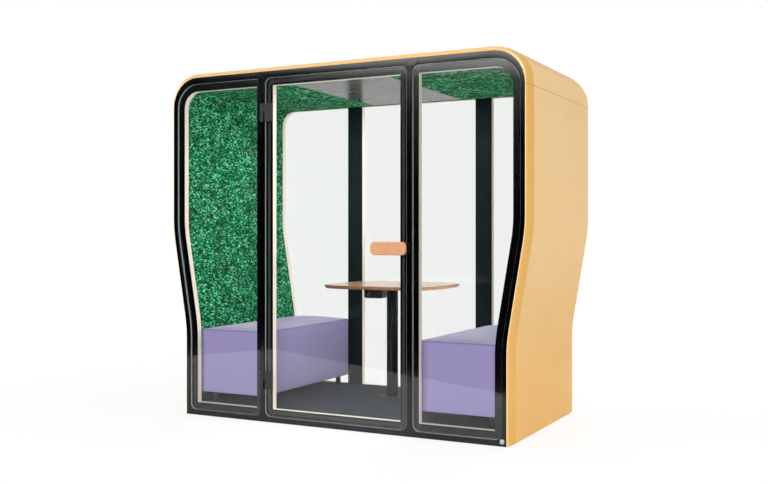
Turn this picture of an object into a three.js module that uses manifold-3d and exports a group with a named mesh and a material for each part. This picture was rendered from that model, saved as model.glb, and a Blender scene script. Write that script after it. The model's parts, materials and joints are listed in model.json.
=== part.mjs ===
// Acoustic office pod for four people: a curved tunnel shell with glazed ends, a hinged glass door,
// two upholstered benches and a table. Millimetres, +Z up, +X to the right seen from the door side,
// +Y towards the back, origin on the floor under the middle of the pod.
import * as THREE from "three";
import { mergeVertices } from "three/addons/utils/BufferGeometryUtils.js";
import Module from "manifold-3d";

// Shell outline, seen from the front
const HALF_TOP = 1214;
const HALF_FOOT = 1108;
const HEIGHT = 2202;
const HALF_DEPTH = 616;
const LOW_BEND_Z = 562;
const HIGH_BEND_Z = 1194;
const BEND_RADIUS = 900;
const ROOF_RADIUS = 200;
const LEAN = Math.atan((HALF_TOP - HALF_FOOT) / (HIGH_BEND_Z - LOW_BEND_Z));

// Shell panels: the roof's extra thickness, its seam with the walls, and the rolled front and back edges
const SHELL_THICKNESS = 14.6;
const ROOF_EXTRA = 16;
const WALL_HEIGHT = HEIGHT - ROOF_EXTRA;
const SHELL_BOTTOM = 4;
const SEAM_Z = 1980;
const SEAM_GAP = 2;
const ROLL_DEPTH = 130;
const ROLL_INSET = 12;
const ROLL_STEPS = 5;

// Clearance between pieces that touch
const GAP = 0.4;

// Layers of the wall, measured inwards from the shell's outer face
const CORE_OUTER = SHELL_THICKNESS + GAP;
const CORE_INNER = 75;
const LINING_OUTER = CORE_INNER + GAP;
const LINING_INNER = 88;
const LINING_ROOF_RADIUS = 112;
const LINING_EDGE_X = 340;

// Floor and ceiling levels
const BASE_TOP = 70;
const FLOOR_Z = 78;
const CEILING_Z = 2088;
const CEILING_THICKNESS = 12;
const CEILING_SLOT = 3;
const PLENUM_HALF = 330;
const PLENUM_TOP = 2150;

// Layers of the front, measured along Y; the back mirrors them
const FASCIA_FRONT = -HALF_DEPTH;
const FASCIA_BACK = FASCIA_FRONT + 18.6;
const FRAME_FRONT = FASCIA_BACK + GAP;
const FRAME_BACK = FRAME_FRONT + 39;
const GLASS_FRONT = FASCIA_FRONT + 3.5;
const GLASS_BACK = GLASS_FRONT + 10;
const FIXED_PANE_BACK = FRAME_FRONT - GAP;
const FIXED_PANE_FRONT = FIXED_PANE_BACK - 12;
const CABIN_HALF_DEPTH = -FRAME_BACK - GAP;

// Frames and fascias
const FRAME_INSET = CORE_OUTER;
const FRAME_BOTTOM = 3;
const FRAME_TOP = WALL_HEIGHT - FRAME_INSET;
const OPENING_INSET = 89;
const OPENING_BOTTOM = 81;
const OPENING_TOP = 2085;
const OPENING_ROOF_RADIUS = 105;
const JAMB_INNER = 439.5;
const JAMB_OUTER = 558;
const FASCIA_JOINT_X = 565;

// Panes and the pockets that hold them
const PANE_INSET = 42;
const PANE_BOTTOM = 36;
const PANE_TOP = 2131;
const PANE_RADIUS = 40;
const PANE_ROOF_RADIUS = 150;
const SIDE_PANE_INNER = 522;
const DOOR_HALF = 487;
const POCKET_GAP = 1.5;
const SEAL_OUTER = 470;
const SEAL_WIDTH = 15;
const SEAL_BOTTOM = 54;
const SEAL_TOP = 2112;

// Door hinges: the pivot stands in front of the strip between the left pane and the door
const HINGE_X = -500;
const HINGE_Y = -623;
const HINGE_HEIGHTS = { lower: 262, upper: 1917 };
const HINGE_HALF_HEIGHT = 56;
const KNUCKLE_RADIUS = 6;
const PIN_RADIUS = 2.5;
const PIN_BORE_RADIUS = 2.6;
const PIN_LENGTH = 50;
const HINGE_SEGMENTS = 32;

// Door handles
const HANDLE_Z = 1080.5;
const HANDLE_HEIGHT = 77;
const HANDLE_LEFT = 268;
const HANDLE_RIGHT = 497;
const HANDLE_RADIUS = 26;
const HANDLE_THICKNESS = 22;
const HANDLE_ROUNDING = 7;
const SPACER_THICKNESS = 14;
const SPACER_HALF_LENGTH = 88;
const SPACER_HEIGHT = 42;
const SPACER_RADIUS = 10;
const INNER_HANDLE_LEFT = 275;
const INNER_HANDLE_RIGHT = 425;
const INNER_HANDLE_THICKNESS = 18;

// Benches
const BENCH_MIDDLE_X = { left: -778, right: 778 };
const BENCH_WIDTH = 476;
const BENCH_HALF_LENGTH = 560;
const BENCH_BOTTOM = 146;
const BENCH_SHOULDER = 546;
const BENCH_CROWN = 22;
const BENCH_CORNER_RADIUS = 42;
const BENCH_EDGE_RADIUS = 16;
const BENCH_DRAW_IN = 5;
const BENCH_WALL = 22;
const CARCASS_TOP = 430;
const FOOT_RADIUS = 18;
const FOOT_INSET_X = 62;
const FOOT_INSET_Y = 70;

// Table
const TABLE_Y = 176;
const TABLE_HALF_LENGTH = 403;
const TABLE_HALF_WIDTH = 364;
const TABLE_SQUARENESS = 4;
const TABLE_TOP = 832;
const TABLE_THICKNESS = 22;
const TABLE_UNDERCUT = 8;
const TABLE_POINTS = 56;
const COLUMN_Y = 172;
const COLUMN_RADIUS = 38;
const BRACKET_HALF_LENGTH = 160;
const BRACKET_HALF_WIDTH = 120;
const BRACKET_THICKNESS = 5;
const TABLE_BASE_RADIUS = 105;
const TABLE_BASE_HEIGHT = 6;
const MODULE_HALF_LENGTH = 65;
const MODULE_FRONT = -105;
const MODULE_BACK = -35;
const MODULE_HEIGHT = 57;
const MODULE_RADIUS = 14;
const SOCKET_SIZE = 42;
const SOCKET_DEPTH = 4;
const SOCKET_X = 28;

// Ventilation fan above the ceiling panel
const FAN_Y = 150;
const FAN_SIZE = 140;
const FAN_HEIGHT = 36;
const FAN_BORE = 64;
const FAN_HUB_RADIUS = 22;
const FAN_BLADE_REACH = 60;
const FAN_BLADES = 7;
const FAN_BLADE_PITCH = THREE.MathUtils.degToRad(35);
const FAN_SHAFT_RADIUS = 3;
const FAN_SHAFT_BORE = 3.1;
const FAN_STRUTS = 3;
const FAN_SEGMENTS = 32;

// How finely arcs are divided
const ARC_STEP = Math.PI / 16;
const MIN_ARC_STEPS = 4;

const wasm = await Module();
wasm.setup();

const finish = (color, roughness, metalness = 0) =>
  new THREE.MeshStandardMaterial({ color, roughness, metalness });

const GOLDEN_SHELL = finish(0xe6c794, 0.75);
const ABSORBER = finish(0x5c5f63, 0.95);
const GREEN_LINING = finish(0x28704e, 0.95);
const GREY_CEILING = finish(0xa9aba8, 0.35);
const DARK_CARPET = finish(0x3a3d42, 0.95);
const PLINTH = finish(0x1b1c1e, 0.7);
const BLACK_PLYWOOD = finish(0x131416, 0.45);
const BLACK_FASCIA = finish(0x17181b, 0.4);
const CLEAR_GLASS = finish(0xdde8e4, 0.05);
const SEAL_RUBBER = finish(0x0e0f10, 0.8);
const BLACK_STEEL = finish(0x141517, 0.4, 0.6);
const TAN_HANDLE = finish(0xe8aa78, 0.55);
const BENCH_CLOTH = finish(0x8f86b3, 0.9);
const BIRCH_PLYWOOD = finish(0xd2c2a4, 0.7);
const WALNUT = finish(0x7d5a44, 0.5);
const BLACK_PLASTIC = finish(0x16171a, 0.5);

// A corner of an outline in the X-Z plane, rounded with the given radius.
const corner = (x, z, radius = 0) => ({ x, z, radius });

// The arc that rounds one corner, as points from its first tangent point to its last.
function roundCorner(before, here, after) {
  const tip = new THREE.Vector2(here.x, here.z);
  if (here.radius === 0) return [tip];
  const back = new THREE.Vector2(before.x, before.z).sub(tip).normalize();
  const ahead = new THREE.Vector2(after.x, after.z).sub(tip).normalize();
  const turn = Math.PI - back.angleTo(ahead);
  const side = Math.sign(ahead.cross(back));
  const start = tip.clone().addScaledVector(back, here.radius * Math.tan(turn / 2));
  const inward = new THREE.Vector2(back.y, -back.x).multiplyScalar(side * here.radius);
  const centre = start.clone().add(inward);
  const steps = Math.max(MIN_ARC_STEPS, Math.ceil(turn / ARC_STEP));
  return Array.from({ length: steps + 1 }, (_, i) =>
    start.clone().rotateAround(centre, (side * turn * i) / steps),
  );
}

// An outline through the given corners; the ends of an open one have no radius.
function rounded(corners) {
  return corners.flatMap((here, i) =>
    roundCorner(corners.at(i - 1), here, corners[(i + 1) % corners.length]),
  );
}

// A rectangle with rounded corners.
function roundedBox(left, bottom, right, top, radius) {
  return rounded([
    corner(left, bottom, radius),
    corner(right, bottom, radius),
    corner(right, top, radius),
    corner(left, top, radius),
  ]);
}

// The two bends of the right wall, on the curve that lies inset from the shell's outer face.
function wallBends(inset) {
  const rise = inset * Math.tan(LEAN / 2);
  return [
    corner(HALF_FOOT - inset, LOW_BEND_Z + rise, BEND_RADIUS + inset),
    corner(HALF_TOP - inset, HIGH_BEND_Z + rise, BEND_RADIUS - inset),
  ];
}

// The curve of the right wall from bottom to top, inset from the shell's outer face.
function wallCurve(inset, bottom, top) {
  return rounded([
    corner(HALF_FOOT - inset, bottom),
    ...wallBends(inset),
    corner(HALF_TOP - inset, top),
  ]);
}

// The curve over the roof from the right wall to the left one, inset from a shell of the given height.
function roofCurve(inset, bottom, height) {
  const x = HALF_TOP - inset;
  const z = height - inset;
  const radius = ROOF_RADIUS - inset;
  return rounded([corner(x, bottom), corner(x, z, radius), corner(-x, z, radius), corner(-x, bottom)]);
}

// The curve round the right side bay, from the bottom rail up the wall and back along the top rail.
function bayCurve(innerX, inset, bottom, top, footRadius, roofRadius) {
  return rounded([
    corner(innerX, bottom),
    corner(HALF_FOOT - inset, bottom, footRadius),
    ...wallBends(inset),
    corner(HALF_TOP - inset, top, roofRadius),
    corner(innerX, top),
  ]);
}

// A flat piece with an X-Z outline between two Y planes, with its edges rounded if asked.
function slab(outline, front, back, { holes = [], rounding = 0 } = {}) {
  const shape = new THREE.Shape(outline);
  shape.holes = holes.map((points) => new THREE.Path(points));
  const geometry = new THREE.ExtrudeGeometry(shape, {
    depth: back - front - 2 * rounding,
    bevelEnabled: rounding > 0,
    bevelThickness: rounding,
    bevelSize: rounding,
    bevelOffset: -rounding,
    bevelSegments: 3,
  });
  return geometry.rotateX(Math.PI / 2).translate(0, back - rounding, 0);
}

// A closed surface through rings of equal count, each counter-clockwise seen from the last one.
function skin(rings, flatten) {
  const count = rings[0].length;
  const index = [];
  for (let level = 0; level + 1 < rings.length; level++) {
    for (let j = 0; j < count; j++) {
      const a = level * count + j;
      const b = level * count + ((j + 1) % count);
      index.push(a, b, b + count, a, b + count, a + count);
    }
  }
  const last = (rings.length - 1) * count;
  const firstCap = THREE.ShapeUtils.triangulateShape(rings[0].map(flatten), []);
  const lastCap = THREE.ShapeUtils.triangulateShape(rings.at(-1).map(flatten), []);
  firstCap.forEach(([a, b, c]) => index.push(a, c, b));
  lastCap.forEach(([a, b, c]) => index.push(last + a, last + b, last + c));
  return new THREE.BufferGeometry().setFromPoints(rings.flat()).setIndex(index);
}
const seenFromFront = (point) => new THREE.Vector2(point.x, point.z);
const seenFromAbove = (point) => new THREE.Vector2(point.x, point.y);

// A box between two corners.
function box(x0, y0, z0, x1, y1, z1) {
  const geometry = new THREE.BoxGeometry(x1 - x0, y1 - y0, z1 - z0);
  return geometry.translate((x0 + x1) / 2, (y0 + y1) / 2, (z0 + z1) / 2);
}

// An upright cylinder on the Z axis between two heights.
function upright(radius, bottom, top, segments) {
  const geometry = new THREE.CylinderGeometry(radius, radius, top - bottom, segments);
  return geometry.rotateX(Math.PI / 2).translate(0, 0, (bottom + top) / 2);
}

// Joining and cutting of closed geometries.
function solidOf(geometry) {
  const bare = geometry.clone();
  bare.deleteAttribute("normal");
  bare.deleteAttribute("uv");
  const merged = mergeVertices(bare, 1e-3);
  return new wasm.Manifold(
    new wasm.Mesh({
      numProp: 3,
      vertProperties: merged.attributes.position.array,
      triVerts: new Uint32Array(merged.index.array),
    }),
  );
}
function geometryOf(solid) {
  const mesh = solid.getMesh();
  return new THREE.BufferGeometry()
    .setAttribute("position", new THREE.BufferAttribute(mesh.vertProperties, 3))
    .setIndex(new THREE.BufferAttribute(mesh.triVerts, 1));
}
function joined(geometries) {
  const [first, ...rest] = geometries.map(solidOf);
  return rest.reduce((whole, next) => whole.add(next), first);
}

// Adds a named piece to a group, and on request its mirror image on the left of the pod.
function add(group, name, geometry, material) {
  const mesh = new THREE.Mesh(geometry, material);
  mesh.name = name;
  group.add(mesh);
  return mesh;
}
function addPair(group, prefix, suffix, geometry, material) {
  add(group, `${prefix}right_${suffix}`, geometry, material);
  add(group, `${prefix}left_${suffix}`, geometry, material).scale.x = -1;
}

// The stations of a shell panel from the back to the front, with the inset of the rolled edges.
function shellStations() {
  const roll = Array.from({ length: ROLL_STEPS + 1 }, (_, i) => {
    const angle = (i / ROLL_STEPS) * (Math.PI / 2);
    return {
      y: -HALF_DEPTH + ROLL_DEPTH * (1 - Math.cos(angle)),
      inset: ROLL_INSET * (1 - Math.sin(angle)),
    };
  });
  const back = roll.map(({ y, inset }) => ({ y: -y, inset }));
  return [...back, ...roll.reverse()];
}

// A shell panel: its section, between an outer curve at any inset and an inner one, along the stations.
function shellPanel(outer, inner) {
  const inside = inner.reverse();
  const rings = shellStations().map(({ y, inset }) =>
    [...outer(inset), ...inside].map((point) => new THREE.Vector3(point.x, y, point.y)),
  );
  return skin(rings, seenFromFront);
}

function buildShell(pod) {
  const wallCurveAt = (inset) => wallCurve(inset, SHELL_BOTTOM, SEAM_Z - SEAM_GAP / 2);
  const wall = shellPanel(wallCurveAt, wallCurveAt(SHELL_THICKNESS));
  addPair(pod, "", "wall_shell", wall, GOLDEN_SHELL);
  const roofCurveAt = (inset, height) => roofCurve(inset, SEAM_Z + SEAM_GAP / 2, height);
  const roof = shellPanel(
    (inset) => roofCurveAt(inset, HEIGHT),
    roofCurveAt(SHELL_THICKNESS, WALL_HEIGHT),
  );
  add(pod, "roof_shell", roof, GOLDEN_SHELL);
}

// Absorber behind the lining; over the ceiling panel it leaves an air space for the fan.
function buildCores(pod) {
  const wall = [
    ...wallCurve(CORE_OUTER, BASE_TOP + GAP, SEAM_Z),
    ...wallCurve(CORE_INNER, BASE_TOP + GAP, SEAM_Z).reverse(),
  ];
  addPair(pod, "", "wall_core", slab(wall, -CABIN_HALF_DEPTH, CABIN_HALF_DEPTH), ABSORBER);
  const underside = WALL_HEIGHT - CORE_INNER;
  const plenum = rounded([
    corner(PLENUM_HALF, underside),
    corner(PLENUM_HALF, PLENUM_TOP),
    corner(-PLENUM_HALF, PLENUM_TOP),
    corner(-PLENUM_HALF, underside),
  ]);
  const inner = roofCurve(CORE_INNER, SEAM_Z + GAP, WALL_HEIGHT);
  const half = inner.length / 2;
  const roof = [
    ...roofCurve(CORE_OUTER, SEAM_Z + GAP, WALL_HEIGHT),
    ...[...inner.slice(0, half), ...plenum, ...inner.slice(half)].reverse(),
  ];
  add(pod, "roof_core", slab(roof, -CABIN_HALF_DEPTH, CABIN_HALF_DEPTH), ABSORBER);
}

// Lining of one wall, its roof corner and the outer part of the ceiling, in one bent sheet.
function buildLinings(pod) {
  const thickness = LINING_INNER - LINING_OUTER;
  const face = (inset, z, radius) =>
    rounded([
      corner(HALF_FOOT - inset, FLOOR_Z + GAP),
      ...wallBends(inset),
      corner(HALF_TOP - inset, z, radius),
      corner(LINING_EDGE_X, z),
    ]);
  const outer = face(LINING_OUTER, CEILING_Z + thickness, LINING_ROOF_RADIUS + thickness);
  const inner = face(LINING_INNER, CEILING_Z, LINING_ROOF_RADIUS);
  const lining = slab([...outer, ...inner.reverse()], -CABIN_HALF_DEPTH, CABIN_HALF_DEPTH);
  addPair(pod, "", "lining", lining, GREEN_LINING);
}

function buildFloorAndCeiling(pod) {
  const baseHalf = HALF_FOOT - CORE_OUTER - GAP;
  const carpetHalf = HALF_FOOT - CORE_INNER - GAP;
  const ceilingHalf = LINING_EDGE_X - CEILING_SLOT;
  const depth = CABIN_HALF_DEPTH;
  add(pod, "base_platform", box(-baseHalf, -depth, 0, baseHalf, depth, BASE_TOP), PLINTH);
  const carpet = box(-carpetHalf, -depth, BASE_TOP + GAP, carpetHalf, depth, FLOOR_Z);
  add(pod, "floor_carpet", carpet, DARK_CARPET);
  const ceilingTop = CEILING_Z + CEILING_THICKNESS;
  const ceiling = box(-ceilingHalf, -depth, CEILING_Z, ceilingHalf, depth, ceilingTop);
  add(pod, "ceiling_panel", ceiling, GREY_CEILING);
}

// The plywood frame of a side bay: top rail, curved stile and bottom rail in one piece.
function sideFrame() {
  const roofRadius = ROOF_RADIUS - FRAME_INSET;
  const innerX = JAMB_OUTER + GAP;
  const outer = bayCurve(innerX, FRAME_INSET, FRAME_BOTTOM, FRAME_TOP, 0, roofRadius);
  const opening = bayCurve(innerX, OPENING_INSET, OPENING_BOTTOM, OPENING_TOP, 0, OPENING_ROOF_RADIUS);
  return slab([...outer, ...opening.reverse()], FRAME_FRONT, FRAME_BACK);
}

// The facing of a side bay, with the pocket of its pane.
function sideFascia() {
  const innerX = FASCIA_JOINT_X + GAP / 2;
  const roofRadius = ROOF_RADIUS - FRAME_INSET;
  const outer = bayCurve(innerX, FRAME_INSET, FRAME_BOTTOM, FRAME_TOP, 0, roofRadius);
  const pocket = bayCurve(
    innerX,
    PANE_INSET - POCKET_GAP,
    PANE_BOTTOM - POCKET_GAP,
    PANE_TOP + POCKET_GAP,
    PANE_RADIUS + POCKET_GAP,
    PANE_ROOF_RADIUS + POCKET_GAP,
  );
  return slab([...outer, ...pocket.reverse()], FASCIA_FRONT, FASCIA_BACK);
}

// The facing round the centre bay: a ring whose sides are the narrow strips between the panes.
function centreFascia() {
  const radius = PANE_RADIUS + POCKET_GAP;
  const low = PANE_BOTTOM - POCKET_GAP;
  const high = PANE_TOP + POCKET_GAP;
  const joint = FASCIA_JOINT_X - GAP / 2;
  const strip = SIDE_PANE_INNER - POCKET_GAP;
  const rightEdge = rounded([
    corner(joint, FRAME_BOTTOM),
    corner(joint, low),
    corner(strip, low, radius),
    corner(strip, high, radius),
    corner(joint, high),
    corner(joint, FRAME_TOP),
  ]);
  const leftEdge = rightEdge.map((point) => new THREE.Vector2(-point.x, point.y)).reverse();
  const doorPocket = DOOR_HALF + POCKET_GAP;
  const hole = roundedBox(-doorPocket, low, doorPocket, high, radius);
  return slab([...rightEdge, ...leftEdge], FASCIA_FRONT, FASCIA_BACK, { holes: [hole] });
}

function sidePane() {
  const pane = rounded([
    corner(SIDE_PANE_INNER, PANE_BOTTOM, PANE_RADIUS),
    corner(HALF_FOOT - PANE_INSET, PANE_BOTTOM, PANE_RADIUS),
    ...wallBends(PANE_INSET),
    corner(HALF_TOP - PANE_INSET, PANE_TOP, PANE_ROOF_RADIUS),
    corner(SIDE_PANE_INNER, PANE_TOP, PANE_RADIUS),
  ]);
  return slab(pane, FIXED_PANE_FRONT, FIXED_PANE_BACK);
}

function centrePane(front, back) {
  const pane = roundedBox(-DOOR_HALF, PANE_BOTTOM, DOOR_HALF, PANE_TOP, PANE_RADIUS);
  return slab(pane, front, back);
}

// What the front and the back share: side frames, facings and fixed panes.
function buildGlazedEnd(end, prefix) {
  addPair(end, prefix, "frame", sideFrame(), BLACK_PLYWOOD);
  addPair(end, prefix, "fascia", sideFascia(), BLACK_FASCIA);
  add(end, `${prefix}centre_fascia`, centreFascia(), BLACK_FASCIA);
  addPair(end, prefix, "glass", sidePane(), CLEAR_GLASS);
}

// The door frame stands between the two side frames.
function buildDoorFrame(front) {
  const jamb = box(JAMB_INNER, FRAME_FRONT, FRAME_BOTTOM, JAMB_OUTER, FRAME_BACK, FRAME_TOP);
  addPair(front, "door_", "jamb", jamb, BLACK_PLYWOOD);
  const half = JAMB_INNER - GAP;
  const head = box(-half, FRAME_FRONT, OPENING_TOP, half, FRAME_BACK, FRAME_TOP);
  add(front, "door_head", head, BLACK_PLYWOOD);
  const sill = box(-half, FRAME_FRONT, FRAME_BOTTOM, half, FRAME_BACK, OPENING_BOTTOM);
  add(front, "door_sill", sill, BLACK_PLYWOOD);
  const outline = roundedBox(-SEAL_OUTER, SEAL_BOTTOM, SEAL_OUTER, SEAL_TOP, PANE_RADIUS);
  const hole = roundedBox(
    -SEAL_OUTER + SEAL_WIDTH,
    SEAL_BOTTOM + SEAL_WIDTH,
    SEAL_OUTER - SEAL_WIDTH,
    SEAL_TOP - SEAL_WIDTH,
    PANE_RADIUS - SEAL_WIDTH,
  );
  const seal = slab(outline, GLASS_BACK + GAP, FRAME_FRONT - GAP, { holes: [hole] });
  add(front, "door_seal", seal, SEAL_RUBBER);
}

// The back has the same centre opening in a single ring, with a fixed pane.
function buildBackCentre(back) {
  const outline = rounded([
    corner(-JAMB_OUTER, FRAME_BOTTOM),
    corner(JAMB_OUTER, FRAME_BOTTOM),
    corner(JAMB_OUTER, FRAME_TOP),
    corner(-JAMB_OUTER, FRAME_TOP),
  ]);
  const opening = rounded([
    corner(-JAMB_INNER, OPENING_BOTTOM),
    corner(JAMB_INNER, OPENING_BOTTOM),
    corner(JAMB_INNER, OPENING_TOP),
    corner(-JAMB_INNER, OPENING_TOP),
  ]);
  const ring = slab(outline, FRAME_FRONT, FRAME_BACK, { holes: [opening] });
  add(back, "back_centre_frame", ring, BLACK_PLYWOOD);
  const pane = centrePane(FIXED_PANE_FRONT, FIXED_PANE_BACK);
  add(back, "back_centre_glass", pane, CLEAR_GLASS);
}

// Hinge leaf on the frame, about its own pivot: a plate, the lower knuckle and the pin.
function hingeLeaf() {
  const front = 3.2;
  const back = FASCIA_FRONT - HINGE_Y - GAP;
  return geometryOf(
    joined([
      box(-21, front, -HINGE_HALF_HEIGHT, -7, back, HINGE_HALF_HEIGHT),
      box(-8, front, -HINGE_HALF_HEIGHT, 1, back, -1),
      upright(KNUCKLE_RADIUS, -HINGE_HALF_HEIGHT, -1, HINGE_SEGMENTS),
      upright(PIN_RADIUS, -HINGE_HALF_HEIGHT, PIN_LENGTH, HINGE_SEGMENTS),
    ]),
  );
}

// Hinge plate on the glass: a plate, the upper knuckle and the blind bore that takes the pin.
function hingePlate() {
  const front = 2.4;
  const back = GLASS_FRONT - HINGE_Y - GAP;
  const body = joined([
    box(14, front, -HINGE_HALF_HEIGHT, 69, back, HINGE_HALF_HEIGHT),
    box(0, front, 1, 15, 6, HINGE_HALF_HEIGHT),
    upright(KNUCKLE_RADIUS, 1, HINGE_HALF_HEIGHT, HINGE_SEGMENTS),
  ]);
  const bore = solidOf(upright(PIN_BORE_RADIUS, 0, PIN_LENGTH + 2, HINGE_SEGMENTS));
  return geometryOf(body.subtract(bore));
}

function buildDoor(front) {
  add(front, "door_glass", centrePane(GLASS_FRONT, GLASS_BACK), CLEAR_GLASS);
  for (const [place, z] of Object.entries(HINGE_HEIGHTS)) {
    add(front, `${place}_hinge_leaf`, hingeLeaf(), BLACK_STEEL).position.set(HINGE_X, HINGE_Y, z);
    add(front, `${place}_hinge_plate`, hingePlate(), BLACK_STEEL).position.set(HINGE_X, HINGE_Y, z);
  }
  const low = HANDLE_Z - HANDLE_HEIGHT / 2;
  const high = HANDLE_Z + HANDLE_HEIGHT / 2;
  const middle = (HANDLE_LEFT + HANDLE_RIGHT) / 2;
  const spacer = roundedBox(
    middle - SPACER_HALF_LENGTH,
    HANDLE_Z - SPACER_HEIGHT / 2,
    middle + SPACER_HALF_LENGTH,
    HANDLE_Z + SPACER_HEIGHT / 2,
    SPACER_RADIUS,
  );
  const spacerBack = GLASS_FRONT - GAP;
  const spacerFront = spacerBack - SPACER_THICKNESS;
  add(front, "outer_handle_spacer", slab(spacer, spacerFront, spacerBack), BLACK_STEEL);
  const grip = roundedBox(HANDLE_LEFT, low, HANDLE_RIGHT, high, HANDLE_RADIUS);
  const gripBack = spacerFront - GAP;
  const rounding = HANDLE_ROUNDING;
  const gripSlab = slab(grip, gripBack - HANDLE_THICKNESS, gripBack, { rounding });
  add(front, "outer_handle_grip", gripSlab, TAN_HANDLE);
  const inner = roundedBox(INNER_HANDLE_LEFT, low, INNER_HANDLE_RIGHT, high, HANDLE_RADIUS);
  const innerFront = GLASS_BACK + GAP;
  const innerSlab = slab(inner, innerFront, innerFront + INNER_HANDLE_THICKNESS, { rounding });
  add(front, "inner_handle", innerSlab, TAN_HANDLE);
}

// A level ring of a pad: a rounded rectangle whose sides draw in between its corners.
function padRing(halfX, halfY, radius, z, drawIn) {
  const cornerSteps = 4;
  const sideSteps = 6;
  const quadrants = [
    [1, -1],
    [1, 1],
    [-1, 1],
    [-1, -1],
  ];
  const arcPoint = ([signX, signY], angle) =>
    new THREE.Vector3(
      signX * (halfX - radius) + radius * Math.cos(angle),
      signY * (halfY - radius) + radius * Math.sin(angle),
      z,
    );
  return quadrants.flatMap((quadrant, k) => {
    const end = (k * Math.PI) / 2;
    const arc = Array.from({ length: cornerSteps + 1 }, (_, i) =>
      arcPoint(quadrant, end - (1 - i / cornerSteps) * (Math.PI / 2)),
    );
    const next = arcPoint(quadrants[(k + 1) % quadrants.length], end);
    const inward = new THREE.Vector3(-Math.cos(end), -Math.sin(end), 0);
    const side = Array.from({ length: sideSteps - 1 }, (_, i) => {
      const along = (i + 1) / sideSteps;
      const point = arc.at(-1).clone().lerp(next, along);
      return point.addScaledVector(inward, drawIn * Math.sin(Math.PI * along));
    });
    return [...arc, ...side];
  });
}

// Upholstery of a bench: a crowned block, drawn in at its sides, over a pocket for the carcass.
function benchCushion() {
  const halfX = BENCH_WIDTH / 2;
  const halfY = BENCH_HALF_LENGTH;
  const radius = BENCH_CORNER_RADIUS;
  const pocket = (z) => padRing(halfX - BENCH_WALL, halfY - BENCH_WALL, radius / 2, z, 0);
  const rings = [pocket(CARCASS_TOP), pocket(BENCH_BOTTOM)];
  const hem = 6;
  rings.push(padRing(halfX - hem, halfY - hem, radius - hem, BENCH_BOTTOM, 0));
  const shoulder = BENCH_SHOULDER - BENCH_EDGE_RADIUS;
  const sideLevels = 4;
  for (let i = 0; i <= sideLevels; i++) {
    const along = i / sideLevels;
    const z = THREE.MathUtils.lerp(BENCH_BOTTOM + hem, shoulder, along);
    rings.push(padRing(halfX, halfY, radius, z, BENCH_DRAW_IN * Math.sin(Math.PI * along)));
  }
  const edgeLevels = 3;
  for (let i = 1; i <= edgeLevels; i++) {
    const angle = (i / edgeLevels) * (Math.PI / 2);
    const inset = BENCH_EDGE_RADIUS * (1 - Math.cos(angle));
    const z = shoulder + BENCH_EDGE_RADIUS * Math.sin(angle);
    rings.push(padRing(halfX - inset, halfY - inset, radius - inset / 2, z, 0));
  }
  const topX = halfX - BENCH_EDGE_RADIUS;
  const topY = halfY - BENCH_EDGE_RADIUS;
  for (const spread of [0.8, 0.55, 0.25]) {
    const rise = BENCH_CROWN * (1 - spread * spread);
    const ringRadius = (radius - BENCH_EDGE_RADIUS / 2) * spread;
    rings.push(padRing(topX * spread, topY * spread, ringRadius, BENCH_SHOULDER + rise, 0));
  }
  return skin(rings, seenFromAbove);
}

// A bench, about the middle of its plan: carcass, cushion and four feet.
function buildBench(pod, side) {
  const bench = new THREE.Group();
  bench.position.x = BENCH_MIDDLE_X[side];
  pod.add(bench);
  add(bench, `${side}_bench_cushion`, benchCushion(), BENCH_CLOTH);
  const halfX = BENCH_WIDTH / 2;
  const carcassX = halfX - BENCH_WALL - BENCH_CORNER_RADIUS / 6;
  const carcassY = BENCH_HALF_LENGTH - BENCH_WALL - BENCH_CORNER_RADIUS / 6;
  const carcass = box(
    -carcassX,
    -carcassY,
    BENCH_BOTTOM,
    carcassX,
    carcassY,
    CARCASS_TOP - GAP,
  );
  add(bench, `${side}_bench_carcass`, carcass, BIRCH_PLYWOOD);
  const footX = halfX - FOOT_INSET_X;
  const footY = BENCH_HALF_LENGTH - FOOT_INSET_Y;
  const foot = upright(FOOT_RADIUS, FLOOR_Z + GAP, BENCH_BOTTOM - GAP, 20);
  const places = { front_inner: [-1, -1], front_outer: [1, -1], back_inner: [-1, 1], back_outer: [1, 1] };
  const outwards = side === "left" ? -1 : 1;
  for (const [place, [signX, signY]] of Object.entries(places)) {
    const mesh = add(bench, `${side}_bench_${place}_foot`, foot, BLACK_PLASTIC);
    mesh.position.set(outwards * signX * footX, signY * footY, 0);
  }
}

// A level ring of the table top, a rounded oblong drawn in by the given inset.
function tableRing(z, inset) {
  const power = 2 / TABLE_SQUARENESS;
  return Array.from({ length: TABLE_POINTS }, (_, i) => {
    const angle = (i / TABLE_POINTS) * 2 * Math.PI;
    const spread = (value, half) => Math.sign(value) * Math.abs(value) ** power * (half - inset);
    const x = spread(Math.cos(angle), TABLE_HALF_LENGTH);
    const y = spread(Math.sin(angle), TABLE_HALF_WIDTH);
    return new THREE.Vector3(x, TABLE_Y + y, z);
  });
}

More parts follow.
